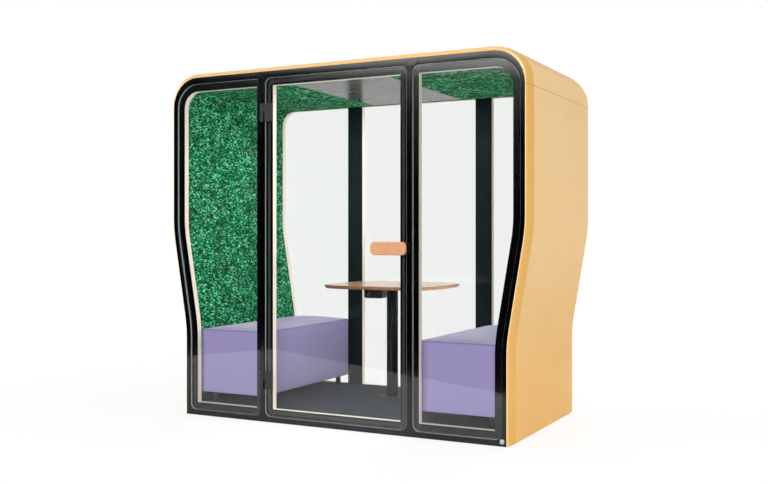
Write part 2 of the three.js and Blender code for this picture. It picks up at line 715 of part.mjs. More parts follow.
function buildTable(pod) {
  const underside = TABLE_TOP - TABLE_THICKNESS;
  const edgeBreak = 2;
  const top = skin(
    [
      tableRing(underside, TABLE_UNDERCUT),
      tableRing(TABLE_TOP - TABLE_THICKNESS / 2, 0),
      tableRing(TABLE_TOP - edgeBreak, 0),
      tableRing(TABLE_TOP, edgeBreak),
    ],
    seenFromAbove,
  );
  add(pod, "table_top", top, WALNUT);
  const bracketTop = underside - GAP;
  const bracketBottom = bracketTop - BRACKET_THICKNESS;
  const bracket = box(
    -BRACKET_HALF_LENGTH,
    COLUMN_Y - BRACKET_HALF_WIDTH,
    bracketBottom,
    BRACKET_HALF_LENGTH,
    COLUMN_Y + BRACKET_HALF_WIDTH,
    bracketTop,
  );
  add(pod, "table_bracket", bracket, BLACK_STEEL);
  const baseTop = FLOOR_Z + GAP + TABLE_BASE_HEIGHT;
  const column = upright(COLUMN_RADIUS, baseTop + GAP, bracketBottom - GAP, 32);
  add(pod, "table_column", column, BLACK_STEEL).position.y = COLUMN_Y;
  const chamfer = TABLE_BASE_HEIGHT / 2;
  const baseProfile = [
    new THREE.Vector2(0, 0),
    new THREE.Vector2(TABLE_BASE_RADIUS, 0),
    new THREE.Vector2(TABLE_BASE_RADIUS, chamfer),
    new THREE.Vector2(TABLE_BASE_RADIUS - chamfer, TABLE_BASE_HEIGHT),
    new THREE.Vector2(0, TABLE_BASE_HEIGHT),
  ];
  const base = new THREE.LatheGeometry(baseProfile, 40).rotateX(Math.PI / 2);
  add(pod, "table_base", base, BLACK_STEEL).position.set(0, COLUMN_Y, FLOOR_Z + GAP);
  buildPowerModule(pod, underside - GAP);
}

// The power module hangs under the near edge of the table, with two square sockets in its face.
function buildPowerModule(pod, top) {
  const bottom = top - MODULE_HEIGHT;
  const outline = rounded([
    corner(-MODULE_HALF_LENGTH, bottom, MODULE_RADIUS),
    corner(MODULE_HALF_LENGTH, bottom, MODULE_RADIUS),
    corner(MODULE_HALF_LENGTH, top),
    corner(-MODULE_HALF_LENGTH, top),
  ]);
  let body = solidOf(slab(outline, MODULE_FRONT, MODULE_BACK));
  const middle = (top + bottom) / 2;
  const half = SOCKET_SIZE / 2;
  for (const x of [-SOCKET_X, SOCKET_X]) {
    const square = roundedBox(x - half, middle - half, x + half, middle + half, half / 3);
    body = body.subtract(solidOf(slab(square, MODULE_FRONT - 1, MODULE_FRONT + SOCKET_DEPTH)));
  }
  add(pod, "power_module", geometryOf(body), BLACK_PLASTIC);
}

// The fan lies on the ceiling panel: a square housing with a motor on struts, and a bladed rotor.
function buildFan(pod) {
  const fan = new THREE.Group();
  fan.position.set(0, FAN_Y, CEILING_Z + CEILING_THICKNESS + GAP);
  pod.add(fan);
  const half = FAN_SIZE / 2;
  const motorTop = 8;
  const block = solidOf(box(-half, -half, 0, half, half, FAN_HEIGHT));
  const duct = solidOf(upright(FAN_BORE, -1, FAN_HEIGHT + 1, FAN_SEGMENTS));
  const struts = Array.from({ length: FAN_STRUTS }, (_, i) =>
    box(0, -3, 0, FAN_BORE + 2, 3, 5).rotateZ((i * 2 * Math.PI) / FAN_STRUTS),
  );
  const motor = joined([
    upright(FAN_HUB_RADIUS, 0, motorTop, FAN_SEGMENTS),
    upright(FAN_SHAFT_RADIUS, 0, FAN_HEIGHT - 8, FAN_SEGMENTS),
    ...struts,
  ]);
  add(fan, "fan_housing", geometryOf(block.subtract(duct).add(motor)), BLACK_PLASTIC);
  const bladeHeight = (motorTop + FAN_HEIGHT) / 2;
  const blades = Array.from({ length: FAN_BLADES }, (_, i) =>
    box(FAN_HUB_RADIUS - 4, -14, -1, FAN_BLADE_REACH, 14, 1)
      .rotateX(FAN_BLADE_PITCH)
      .translate(0, 0, bladeHeight)
      .rotateZ((i * 2 * Math.PI) / FAN_BLADES),
  );
  const hub = upright(FAN_HUB_RADIUS, motorTop + 1, FAN_HEIGHT - 3, FAN_SEGMENTS);
  const bore = solidOf(upright(FAN_SHAFT_BORE, motorTop, FAN_HEIGHT - 7, FAN_SEGMENTS));
  add(fan, "fan_rotor", geometryOf(joined([hub, ...blades]).subtract(bore)), BLACK_PLASTIC);
}

const pod = new THREE.Group();
const front = new THREE.Group();
const back = new THREE.Group();
back.scale.y = -1;
pod.add(front, back);

buildFloorAndCeiling(pod);
buildShell(pod);
buildCores(pod);
buildLinings(pod);
buildGlazedEnd(front, "front_");
buildDoorFrame(front);
buildDoor(front);
buildGlazedEnd(back, "back_");
buildBackCentre(back);
buildBench(pod, "left");
buildBench(pod, "right");
buildTable(pod);
buildFan(pod);

export default pod;
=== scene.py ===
"""Looks of an acoustic office pod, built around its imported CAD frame.

The pod is a golden tunnel shell with two flush-glazed black ends, a hinged glass door, a speckled
green lining, two lavender benches and a walnut table on a black column. Lengths are metres in the
CAD frame.
"""
import json
import logging
import math
from dataclasses import dataclass, field
from enum import Enum
from typing import Any, Callable, Iterable, Mapping, Sequence

import bmesh
import bpy
from mathutils import Matrix, Vector, noise

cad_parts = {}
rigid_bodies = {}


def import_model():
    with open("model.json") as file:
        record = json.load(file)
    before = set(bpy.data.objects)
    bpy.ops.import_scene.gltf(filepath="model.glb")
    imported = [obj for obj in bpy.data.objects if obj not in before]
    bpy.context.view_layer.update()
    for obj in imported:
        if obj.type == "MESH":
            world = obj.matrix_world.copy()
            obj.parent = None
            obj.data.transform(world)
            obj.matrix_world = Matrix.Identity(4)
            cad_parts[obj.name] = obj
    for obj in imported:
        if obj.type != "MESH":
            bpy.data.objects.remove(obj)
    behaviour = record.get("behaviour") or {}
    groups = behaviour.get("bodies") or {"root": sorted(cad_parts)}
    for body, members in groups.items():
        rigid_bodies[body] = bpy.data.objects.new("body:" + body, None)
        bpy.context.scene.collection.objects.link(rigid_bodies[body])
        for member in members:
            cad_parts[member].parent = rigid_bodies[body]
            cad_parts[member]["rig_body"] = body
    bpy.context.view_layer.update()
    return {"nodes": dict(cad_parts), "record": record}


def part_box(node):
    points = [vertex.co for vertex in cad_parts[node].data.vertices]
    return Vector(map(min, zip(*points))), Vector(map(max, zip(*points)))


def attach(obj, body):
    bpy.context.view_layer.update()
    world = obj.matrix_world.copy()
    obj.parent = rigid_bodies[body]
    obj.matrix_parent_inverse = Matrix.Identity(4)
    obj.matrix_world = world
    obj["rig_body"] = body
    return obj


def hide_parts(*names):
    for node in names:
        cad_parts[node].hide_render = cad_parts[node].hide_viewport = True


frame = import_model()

LOG = logging.getLogger("office_pod")

Colour = tuple[float, float, float, float]
Triple = tuple[float, float, float]
Span = tuple[float, float]

WHITE: Colour = (1.0, 1.0, 1.0, 1.0)

# The colour sockets of a Mix node, which share their names with its other kinds.
MIX_FIRST, MIX_SECOND, MIX_RESULT = 6, 7, 2

# How a CAD node's copy is cleaned and eased.
MERGE_DISTANCE = 1e-5
FLAT_ANGLE = math.radians(0.2)
EASING_SEGMENTS = 2
NO_EASING = 0.0
QUAD = 4

# Turns a shape that stands on the floor so that it faces the front.
FACING_FRONT = Matrix.Rotation(math.pi / 2, 4, "X")


def srgb(red: int, green: int, blue: int) -> Colour:
    """Turns a screen colour into the linear colour that a shader takes.

    Args:
        red: Red, 0 to 255.
        green: Green, 0 to 255.
        blue: Blue, 0 to 255.

    Returns:
        The linear colour with full opacity.
    """
    def linear(channel: int) -> float:
        """One channel as a linear value."""
        share = channel / 255
        return share / 12.92 if share <= 0.04045 else ((share + 0.055) / 1.055) ** 2.4
    return (linear(red), linear(green), linear(blue), 1.0)


class Value:
    """A number on a node's socket; arithmetic on it adds Math nodes."""

    def __init__(self, graph: "Graph", socket: bpy.types.NodeSocket) -> None:
        """Keeps the graph and the socket that carries the number."""
        self.graph = graph
        self.socket = socket

    def _math(self, operation: str, first: Any, second: Any = 0.0) -> "Value":
        """Adds one Math node and returns its result."""
        made = self.graph.node("ShaderNodeMath", {"operation": operation}, {0: first, 1: second})
        return Value(self.graph, made.outputs[0])

    def __add__(self, other: Any) -> "Value":
        """This plus other."""
        return self._math("ADD", self, other)

    __radd__ = __add__

    def __sub__(self, other: Any) -> "Value":
        """This minus other."""
        return self._math("SUBTRACT", self, other)

    def __rsub__(self, other: Any) -> "Value":
        """Other minus this."""
        return self._math("SUBTRACT", other, self)

    def __mul__(self, other: Any) -> "Value":
        """This times other."""
        return self._math("MULTIPLY", self, other)

    __rmul__ = __mul__

    def __pow__(self, other: Any) -> "Value":
        """This to the power of other."""
        return self._math("POWER", self, other)

    def __rpow__(self, other: Any) -> "Value":
        """Other to the power of this."""
        return self._math("POWER", other, self)

    def sine(self) -> "Value":
        """The sine of this."""
        return self._math("SINE", self)

    def wave(self) -> "Value":
        """A sine wave of this, from 0 to 1."""
        return self.sine() * 0.5 + 0.5

    def step(self, low: float, high: float) -> "Value":
        """A smooth step.

        Args:
            low: Where the step starts at 0.
            high: Where it reaches 1.

        Returns:
            The stepped value.
        """
        made = self.graph.node(
            "ShaderNodeMapRange",
            {"interpolation_type": "SMOOTHSTEP"},
            {"Value": self, "From Min": low, "From Max": high},
        )
        return Value(self.graph, made.outputs[0])


class Graph:
    """A node tree that is filled by one node-making method."""

    def __init__(self, tree: bpy.types.NodeTree) -> None:
        """Keeps the tree and empties it."""
        self.tree = tree
        tree.nodes.clear()

    def node(
        self,
        kind: str,
        settings: Mapping[str, Any] | None = None,
        inputs: Mapping[str | int, Any] | None = None,
    ) -> bpy.types.Node:
        """Adds a node.

        Args:
            kind: The node's type name.
            settings: Properties, set first; "stops" holds a colour ramp's positions and colours.
            inputs: What each socket gets, by name or index: a number, a colour, a Value or a
                socket.

        Returns:
            The new node.
        """
        made = self.tree.nodes.new(kind)
        for key, value in (settings or {}).items():
            if key == "stops":
                self._set_stops(made.color_ramp, value)
            else:
                setattr(made, key, value)
        for key, value in (inputs or {}).items():
            self._feed(made.inputs[key], value)
        return made

    def _feed(self, socket: bpy.types.NodeSocket, value: Any) -> None:
        """Links a value or a socket, or sets a plain one.

        Args:
            socket: The socket that is fed.
            value: A number, a colour, a Value or another node's socket.
        """
        if isinstance(value, Value):
            self.tree.links.new(value.socket, socket)
        elif isinstance(value, bpy.types.NodeSocket):
            self.tree.links.new(value, socket)
        else:
            socket.default_value = value

    @staticmethod
    def _set_stops(ramp: bpy.types.ColorRamp, stops: Sequence[tuple[float, Colour]]) -> None:
        """Gives a colour ramp its stops.

        Args:
            ramp: The ramp.
            stops: The position and the colour of each stop, in order.
        """
        while len(ramp.elements) < len(stops):
            ramp.elements.new(1.0)
        for element, (position, colour) in zip(ramp.elements, stops):
            element.position = position
            element.color = colour


class Shader(Graph):
    """The node tree of one material, with the textures that several finishes share."""

    def __init__(self, name: str) -> None:
        """Makes an empty material.

        Args:
            name: The material's name.
        """
        self.material = bpy.data.materials.new(name)
        self.material.use_nodes = True
        super().__init__(self.material.node_tree)
        self.place = self.node("ShaderNodeTexCoord").outputs["Object"]

    def axes(self) -> tuple[Value, Value, Value]:
        """The X, Y and Z of the shaded point."""
        split = self.node("ShaderNodeSeparateXYZ", None, {0: self.place})
        return tuple(Value(self, socket) for socket in split.outputs)

    def stretched(self, scale: Triple) -> bpy.types.NodeSocket:
        """The place with its axes scaled, for grain that runs one way."""
        scaled = self.node("ShaderNodeMapping", None, {"Vector": self.place, "Scale": scale})
        return scaled.outputs[0]

    def grain(
        self, scale: float, detail: float = 3.0, place: bpy.types.NodeSocket | None = None
    ) -> Value:
        """Noise around 0.5.

        Args:
            scale: How many blobs go in a metre.
            detail: How many finer layers it has.
            place: Coordinates other than the object's own.

        Returns:
            The noise as a value.
        """
        made = self.node(
            "ShaderNodeTexNoise", None,
            {"Vector": place or self.place, "Scale": scale, "Detail": detail},
        )
        return Value(self, made.outputs[0])

    def mix(self, share: Any, first: Any, second: Any) -> bpy.types.NodeSocket:
        """Mixes two colours.

        Args:
            share: The share of the second colour.
            first: The first colour.
            second: The second colour.

        Returns:
            The socket with the mixed colour.
        """
        made = self.node(
            "ShaderNodeMix", {"data_type": "RGBA"},
            {"Factor": share, MIX_FIRST: first, MIX_SECOND: second},
        )
        return made.outputs[MIX_RESULT]

    def bump(self, height: Value, depth: float, strength: float) -> bpy.types.NodeSocket:
        """Bends the normal by a height.

        Args:
            height: The height, where 1 is the full depth.
            depth: The depth in metres.
            strength: The share of the bend that is used.

        Returns:
            The socket with the bent normal.
        """
        made = self.node(
            "ShaderNodeBump", None, {"Strength": strength, "Distance": depth, "Height": height}
        )
        return made.outputs[0]

    def surface(self, **inputs: Any) -> bpy.types.Material:
        """Ends the tree in a Principled surface.

        Args:
            **inputs: Socket values by their names, with underscores for spaces.

        Returns:
            The finished material.
        """
        sockets = {key.replace("_", " "): value for key, value in inputs.items()}
        made = self.node("ShaderNodeBsdfPrincipled", None, sockets)
        return self.output(made.outputs[0])

    def output(self, shader: bpy.types.NodeSocket) -> bpy.types.Material:
        """Ends the tree in that shader and returns the material."""
        self.node("ShaderNodeOutputMaterial", None, {"Surface": shader})
        return self.material


# In the finishes below, a span is where a smooth step starts and ends, a scale counts a grain's
# blobs in a metre, and a relief is the depth in metres and the strength of a bump.


@dataclass(frozen=True)
class ShellLacquer:
    """Golden lacquer of the shell: painted shade at the foot, front edge and roof, a painted
    highlight on the lip.
    """

    main: Colour = srgb(232, 197, 143)
    # Painted shade: a deeper gold for the band along the front edge and low on the walls, where
    # less light falls.
    shade_band: Colour = srgb(218, 168, 90)
    # Painted highlight: a paler colour on the front lip, which faces the front light.
    highlight_lip: Colour = srgb(218, 190, 148)
    # Painted shade: the roof darkened, where little light falls on it.
    roof_shade: Colour = srgb(198, 162, 110)
    half_depth: float = 0.616
    shade_band_span: Span = (0.092, 0.128)
    highlight_lip_span: Span = (0.0, 0.004)
    foot_shade_span: Span = (0.35, 1.25)
    foot_shade_share: float = 0.6
    roof_shade_span: Span = (2.08, 2.17)
    cloud_scale: float = 2.6
    cloud_span: Span = (0.3, 0.7)
    cloud_share: float = 0.14
    fibre_scale: float = 900.0
    relief: Span = (0.0002, 0.35)
    roughness: float = 0.5
    rough_range: float = 0.12
    gloss: float = 0.15

    def material(self) -> bpy.types.Material:
        """Builds the lacquer.

        Returns:
            The finished material.
        """
        shader = Shader("golden_lacquer")
        _, y, z = shader.axes()
        behind_edge = y + self.half_depth
        clouds = shader.grain(self.cloud_scale, detail=2.0).step(*self.cloud_span)
        fibre = shader.grain(self.fibre_scale, detail=2.0)
        # Painted shade: darker towards the foot of the walls.
        foot_shade = 1.0 - z.step(*self.foot_shade_span)
        clouds_and_foot_shade = clouds * self.cloud_share + foot_shade * self.foot_shade_share
        main = shader.mix(clouds_and_foot_shade, self.main, self.shade_band)
        # Painted shade: the band along the front edge, which is turned away from the light.
        with_edge_shade = shader.mix(behind_edge.step(*self.shade_band_span), self.shade_band, main)
        # Painted highlight on the lip along the front edge.
        with_lip_highlight = shader.mix(behind_edge.step(*self.highlight_lip_span), self.highlight_lip, with_edge_shade)
        # Painted shade on the roof, mixed in above its step.
        return shader.surface(
            Base_Color=shader.mix(z.step(*self.roof_shade_span), with_lip_highlight, self.roof_shade),
            Roughness=fibre * self.rough_range + self.roughness,
            Normal=shader.bump(fibre, *self.relief),
            Specular_IOR_Level=self.gloss,
        )


@dataclass(frozen=True)
class BlackBoard:
    """Black facing of the frames and fascias: glossy, with a faint peel and a few dull smears."""

    colour: Colour = srgb(1, 1, 2)
    worn: Colour = srgb(4, 4, 5)
    roughness: float = 0.16
    rough_range: float = 0.1
    name: str = "black_facing"
    gloss: float = 0.35
    smear_scale: float = 5.0
    smear_span: Span = (0.45, 0.8)
    smear_share: float = 0.5
    peel_scale: float = 420.0
    relief: Span = (0.00006, 0.1)

    def material(self) -> bpy.types.Material:
        """Builds the facing.

        Returns:
            The finished material.
        """
        shader = Shader(self.name)
        smears = shader.grain(self.smear_scale, detail=4.0)
        peel = shader.grain(self.peel_scale, detail=2.0)
        worn = smears.step(*self.smear_span) * self.smear_share
        return shader.surface(
            Base_Color=shader.mix(worn, self.colour, self.worn),
            Roughness=smears * self.rough_range + self.roughness - self.rough_range / 2,
            Normal=shader.bump(peel, *self.relief),
            Specular_IOR_Level=self.gloss,
        )


@dataclass(frozen=True)
class PlywoodEdge:
    """Clear edge of birch plywood, with its plies one behind the other."""

    pale: Colour = srgb(234, 224, 210)
    dark: Colour = srgb(210, 194, 176)
    ply: float = 0.0028
    ply_share: float = 0.55
    wobble_scale: float = 14.0
    wobble_turn: float = 2.0
    fibre_scale: float = 300.0
    fibre_stretch: Triple = (1.0, 4.0, 1.0)
    fibre_share: float = 0.25
    relief: Span = (0.0002, 0.4)
    roughness: float = 0.5
    rough_range: float = 0.2

    def material(self) -> bpy.types.Material:
        """Builds the edge.

        Returns:
            The finished material.
        """
        shader = Shader("plywood_edge")
        _, y, _ = shader.axes()
        wobble = shader.grain(self.wobble_scale) * self.wobble_turn
        plies = (y * (math.tau / self.ply) + wobble).wave()
        stretched = shader.stretched(self.fibre_stretch)
        fibre = shader.grain(self.fibre_scale, detail=2.0, place=stretched)
        darker = plies * self.ply_share + fibre * self.fibre_share
        return shader.surface(
            Base_Color=shader.mix(darker, self.pale, self.dark),
            Roughness=fibre * self.rough_range + self.roughness,
            Normal=shader.bump(fibre, *self.relief),
        )


@dataclass(frozen=True)
class ClearGlass:
    """Clear laminated pane: see-through with a faint tint, mirror-like by its angle."""

    tint: Colour = (0.992, 0.997, 0.993, 1.0)
    straight_on: float = 0.031
    even_blend: float = 0.5
    slant_power: float = 5.0
    mirror_roughness: float = 0.01

    def material(self) -> bpy.types.Material:
        """Builds the glass.

        Returns:
            The finished material.
        """
        shader = Shader("clear_glass")
        clear = shader.node("ShaderNodeBsdfTransparent", None, {"Color": self.tint})
        mirror = shader.node("ShaderNodeBsdfGlossy", None, {"Roughness": self.mirror_roughness})
        angle = shader.node("ShaderNodeLayerWeight", None, {"Blend": self.even_blend})
        slant = Value(shader, angle.outputs["Facing"])
        share = slant ** self.slant_power * (1.0 - self.straight_on) + self.straight_on
        both = shader.node(
            "ShaderNodeMixShader", None, {0: share, 1: clear.outputs[0], 2: mirror.outputs[0]}
        )
        return shader.output(both.outputs[0])


@dataclass(frozen=True)
class PolishedGlassEdge:
    """Polished edge of a pane, pale and slightly green."""

    colour: Colour = srgb(158, 170, 166)
    ripple_scale: float = 60.0
    roughness: float = 0.12
    rough_range: float = 0.2
    coat: float = 0.6
    opacity: float = 0.85

    def material(self) -> bpy.types.Material:
        """Builds the edge.

        Returns:
            The finished material.
        """
        shader = Shader("polished_glass_edge")
        ripple = shader.grain(self.ripple_scale, detail=2.0)
        return shader.surface(
            Base_Color=self.colour,
            Roughness=ripple * self.rough_range + self.roughness,
            Coat_Weight=self.coat,
            Alpha=self.opacity,
        )


@dataclass(frozen=True)
class SpeckledFelt:
    """Felted lining of crossed green strands, with brown flecks and painted shade as a dark strip
    at its foot.
    """

    deep: Colour = srgb(0, 36, 26)
    leaf: Colour = srgb(3, 86, 51)
    fresh: Colour = srgb(26, 142, 89)
    pale: Colour = srgb(128, 222, 168)
    tone_stops: tuple[float, ...] = (0.22, 0.46, 0.64, 0.86)
    brown: Colour = srgb(104, 70, 60)
    brown_span: Span = (0.93, 0.95)
    brown_share: float = 0.55
    # Painted shade: a dark strip along the foot, where the benches shade the lining.
    low_shade: Colour = srgb(10, 14, 14)
    low_shade_span: Span = (0.115, 0.155)
    strand: Triple = (62.0, 62.0, 150.0)
    turns: tuple[Triple, Triple] = ((0.8, 0.5, 0.3), (-0.7, -0.6, 0.9))
    layer_shares: Span = (0.6, 0.4)
    bend_scale: float = 45.0
    bend: float = 0.02
    shadow_scale: float = 9.0
    shadow_span: Span = (0.45, 0.62)
    shadow_share: float = 0.4
    relief: Span = (0.004, 0.5)
    roughness: float = 0.9
    gloss: float = 0.15

    def material(self) -> bpy.types.Material:
        """Builds the felt.

        Returns:
            The finished material.
        """
        shader = Shader("speckled_felt")
        bent = self._bent_place(shader)
        upper, lower = (self._strands(shader, bent, turn) for turn in self.turns)
        colours = (self.deep, self.leaf, self.fresh, self.pale)
        upper_share, lower_share = self.layer_shares
        tones = shader.node(
            "ShaderNodeValToRGB",
            {"stops": tuple(zip(self.tone_stops, colours))},
            {0: upper[0] * upper_share + lower[0] * lower_share},
        ).outputs[0]
        shadow = shader.grain(self.shadow_scale, detail=2.0).step(*self.shadow_span)
        shaded = shader.mix(shadow * self.shadow_share, tones, self.deep)
        brown = lower[0].step(*self.brown_span) * self.brown_share
        flecked = shader.mix(brown, shaded, self.brown)
        # Painted shade along the foot of the lining.
        above_low_shade = shader.axes()[2].step(*self.low_shade_span)
        return shader.surface(
            Base_Color=shader.mix(above_low_shade, self.low_shade, flecked),
            Roughness=self.roughness,
            Normal=shader.bump(upper[1] + lower[1], *self.relief),
            Specular_IOR_Level=self.gloss,
        )

    def _bent_place(self, shader: Shader) -> bpy.types.NodeSocket:
        """Shifts the place by noise, so that the strands bend.

        Args:
            shader: The felt's node tree.

        Returns:
            The socket with the shifted place.
        """
        warp = shader.node(
            "ShaderNodeTexNoise", None,
            {"Vector": shader.place, "Scale": self.bend_scale, "Detail": 2.0},
        )
        bent = shader.node(
            "ShaderNodeVectorMath", {"operation": "MULTIPLY_ADD"},
            {0: warp.outputs["Color"], 1: (self.bend,) * 3, 2: shader.place},
        )
        return bent.outputs[0]

    def _strands(
        self, shader: Shader, place: bpy.types.NodeSocket, turn: Triple
    ) -> tuple[Value, Value]:
        """Lays one layer of strands that lie one way.

        Args:
            shader: The felt's node tree.
            place: The coordinates that the strands follow.
            turn: How the layer is turned about the three axes.

        Returns:
            A tone for each strand, and its height.
        """
        laid = shader.node(
            "ShaderNodeMapping", None, {"Vector": place, "Rotation": turn, "Scale": self.strand}
        ).outputs[0]
        cells = shader.node("ShaderNodeTexVoronoi", None, {"Vector": laid, "Scale": 1.0}).outputs
        tone = shader.node("ShaderNodeSeparateColor", None, {0: cells["Color"]}).outputs[0]
        return Value(shader, tone), Value(shader, cells["Distance"])


@dataclass(frozen=True)
class WovenWool:
    """Plain-woven lavender wool of the benches and their welts."""

    body: Colour = srgb(134, 124, 164)
    shade: Colour = srgb(117, 108, 146)
    thread: float = 0.0016
    name: str = "lavender_wool"
    weave_share: float = 0.35
    yarn_scale: float = 700.0
    yarn_share: float = 0.35
    yarn_height: float = 0.6
    cloud_scale: float = 9.0
    cloud_share: float = 0.3
    relief: Span = (0.0005, 0.6)
    roughness: float = 0.82
    rough_range: float = 0.1
    sheen: float = 0.3
    sheen_roughness: float = 0.4
    gloss: float = 0.25

    def material(self) -> bpy.types.Material:
        """Builds the wool.

        Returns:
            The finished material.
        """
        shader = Shader(self.name)
        turn = math.tau / self.thread
        waves = [(axis * turn).sine() for axis in shader.axes()]
        crossed = waves[0] * waves[1] + waves[1] * waves[2] + waves[2] * waves[0]
        weave = crossed * 0.25 + 0.5
        yarn = shader.grain(self.yarn_scale)
        clouds = shader.grain(self.cloud_scale)
        share = weave * self.weave_share + yarn * self.yarn_share + clouds * self.cloud_share
        return shader.surface(
            Base_Color=shader.mix(share, self.body, self.shade),
            Roughness=yarn * self.rough_range + self.roughness,
            Normal=shader.bump(weave + yarn * self.yarn_height, *self.relief),
            Sheen_Weight=self.sheen,
            Sheen_Roughness=self.sheen_roughness,
            Specular_IOR_Level=self.gloss,
        )


@dataclass(frozen=True)
class Walnut:
    """Satin walnut with its grain along the table; the default colours are lightened, in part as a
    painted reflection of the bright surroundings on the top.
    """

    # Partly painted reflection: these defaults are lighter than the walnut itself, standing in for
    # the gloss on the top.
    pale: Colour = srgb(206, 166, 134)
    dark: Colour = srgb(146, 106, 80)
    name: str = "walnut_veneer_painted_reflection"
    stretch: Triple = (1.0, 14.0, 14.0)
    figure_scale: float = 4.0
    figure_share: float = 0.45
    line_turns: float = 46.0
    line_share: float = 0.4
    pore_scale: float = 90.0
    pore_share: float = 0.15
    relief: Span = (0.0002, 0.3)
    roughness: float = 0.2
    rough_range: float = 0.12
    coat: float = 0.3

    def material(self) -> bpy.types.Material:
        """Builds the wood.

        Returns:
            The finished material.
        """
        shader = Shader(self.name)
        along = shader.stretched(self.stretch)
        figure = shader.grain(self.figure_scale, detail=5.0, place=along)
        lines = (figure * self.line_turns).wave()
        pores = shader.grain(self.pore_scale, detail=2.0, place=along)
        darker = lines * self.line_share + figure * self.figure_share + pores * self.pore_share
        return shader.surface(
            Base_Color=shader.mix(darker, self.pale, self.dark),
            Roughness=pores * self.rough_range + self.roughness,
            Normal=shader.bump(pores, *self.relief),
            Coat_Weight=self.coat,
        )


@dataclass(frozen=True)
class TanLeather:
    """Smooth tan leather of the pull handles."""

    colour: Colour = srgb(178, 129, 92)
    shade: Colour = srgb(160, 110, 74)
    pebble_scale: float = 620.0
    cloud_scale: float = 22.0
    cloud_span: Span = (0.35, 0.75)
    cloud_share: float = 0.5
    relief: Span = (0.0006, 0.3)
    roughness: float = 0.42
    rough_range: float = 0.12

    def material(self) -> bpy.types.Material:
        """Builds the leather.

        Returns:
            The finished material.
        """
        shader = Shader("tan_leather")
        pebble = shader.node(
            "ShaderNodeTexVoronoi", {"feature": "SMOOTH_F1"},
            {"Vector": shader.place, "Scale": self.pebble_scale},
        )
        height = Value(shader, pebble.outputs["Distance"])
        clouds = shader.grain(self.cloud_scale)
        shaded = clouds.step(*self.cloud_span) * self.cloud_share
        return shader.surface(
            Base_Color=shader.mix(shaded, self.colour, self.shade),
            Roughness=clouds * self.rough_range + self.roughness,
            Normal=shader.bump(height, *self.relief),
        )


@dataclass(frozen=True)
class LoopPile:
    """Dark loop-pile carpet in two close greys."""

    light: Colour = srgb(58, 62, 70)
    dark: Colour = srgb(30, 33, 40)
    loop_scale: float = 190.0
    fleck_scale: float = 240.0
    fleck_span: Span = (0.3, 0.7)
    fleck_share: float = 0.6
    wear_scale: float = 3.0
    wear_share: float = 0.4
    relief: Span = (0.004, 0.7)
    roughness: float = 0.95
    gloss: float = 0.1

    def material(self) -> bpy.types.Material:
        """Builds the pile.

        Returns:
            The finished material.
        """
        shader = Shader("loop_pile")
        loops = shader.node(
            "ShaderNodeTexVoronoi", None, {"Vector": shader.place, "Scale": self.loop_scale}
        )
        height = Value(shader, loops.outputs["Distance"])
        flecks = shader.grain(self.fleck_scale, detail=2.0).step(*self.fleck_span)
        wear = shader.grain(self.wear_scale)
        return shader.surface(
            Base_Color=shader.mix(
                flecks * self.fleck_share + wear * self.wear_share, self.light, self.dark
            ),
            Roughness=self.roughness,
            Normal=shader.bump(height, *self.relief),
            Specular_IOR_Level=self.gloss,
        )


@dataclass(frozen=True)
class PlainCoat:
    """A plain coat with fine grain: powder coat, moulded plastic, rubber, thread or board."""

    name: str
    colour: Colour
    roughness: float
    metallic: float = 0.0
    grain: float = 700.0
    depth: float = 0.0002
    strength: float = 0.5
    cloud_scale: float = 8.0
    cloud_span: Span = (0.3, 0.8)
    cloud_share: float = 0.6
    lighter_by: float = 1.35
    lifted_by: float = 0.004
    rough_range: float = 0.1

    def material(self) -> bpy.types.Material:
        """Builds the coat.

        Returns:
            The finished material.
        """
        shader = Shader(self.name)
        speckle = shader.grain(self.grain, detail=2.0)
        clouds = shader.grain(self.cloud_scale)
        share = clouds.step(*self.cloud_span) * self.cloud_share
        raised = (channel * self.lighter_by + self.lifted_by for channel in self.colour[:3])
        lighter = tuple(min(1.0, channel) for channel in raised) + (1.0,)
        return shader.surface(
            Base_Color=shader.mix(share, self.colour, lighter),
            Roughness=clouds * self.rough_range + self.roughness - self.rough_range / 2,
            Metallic=self.metallic,
            Normal=shader.bump(speckle, self.depth, self.strength),
        )


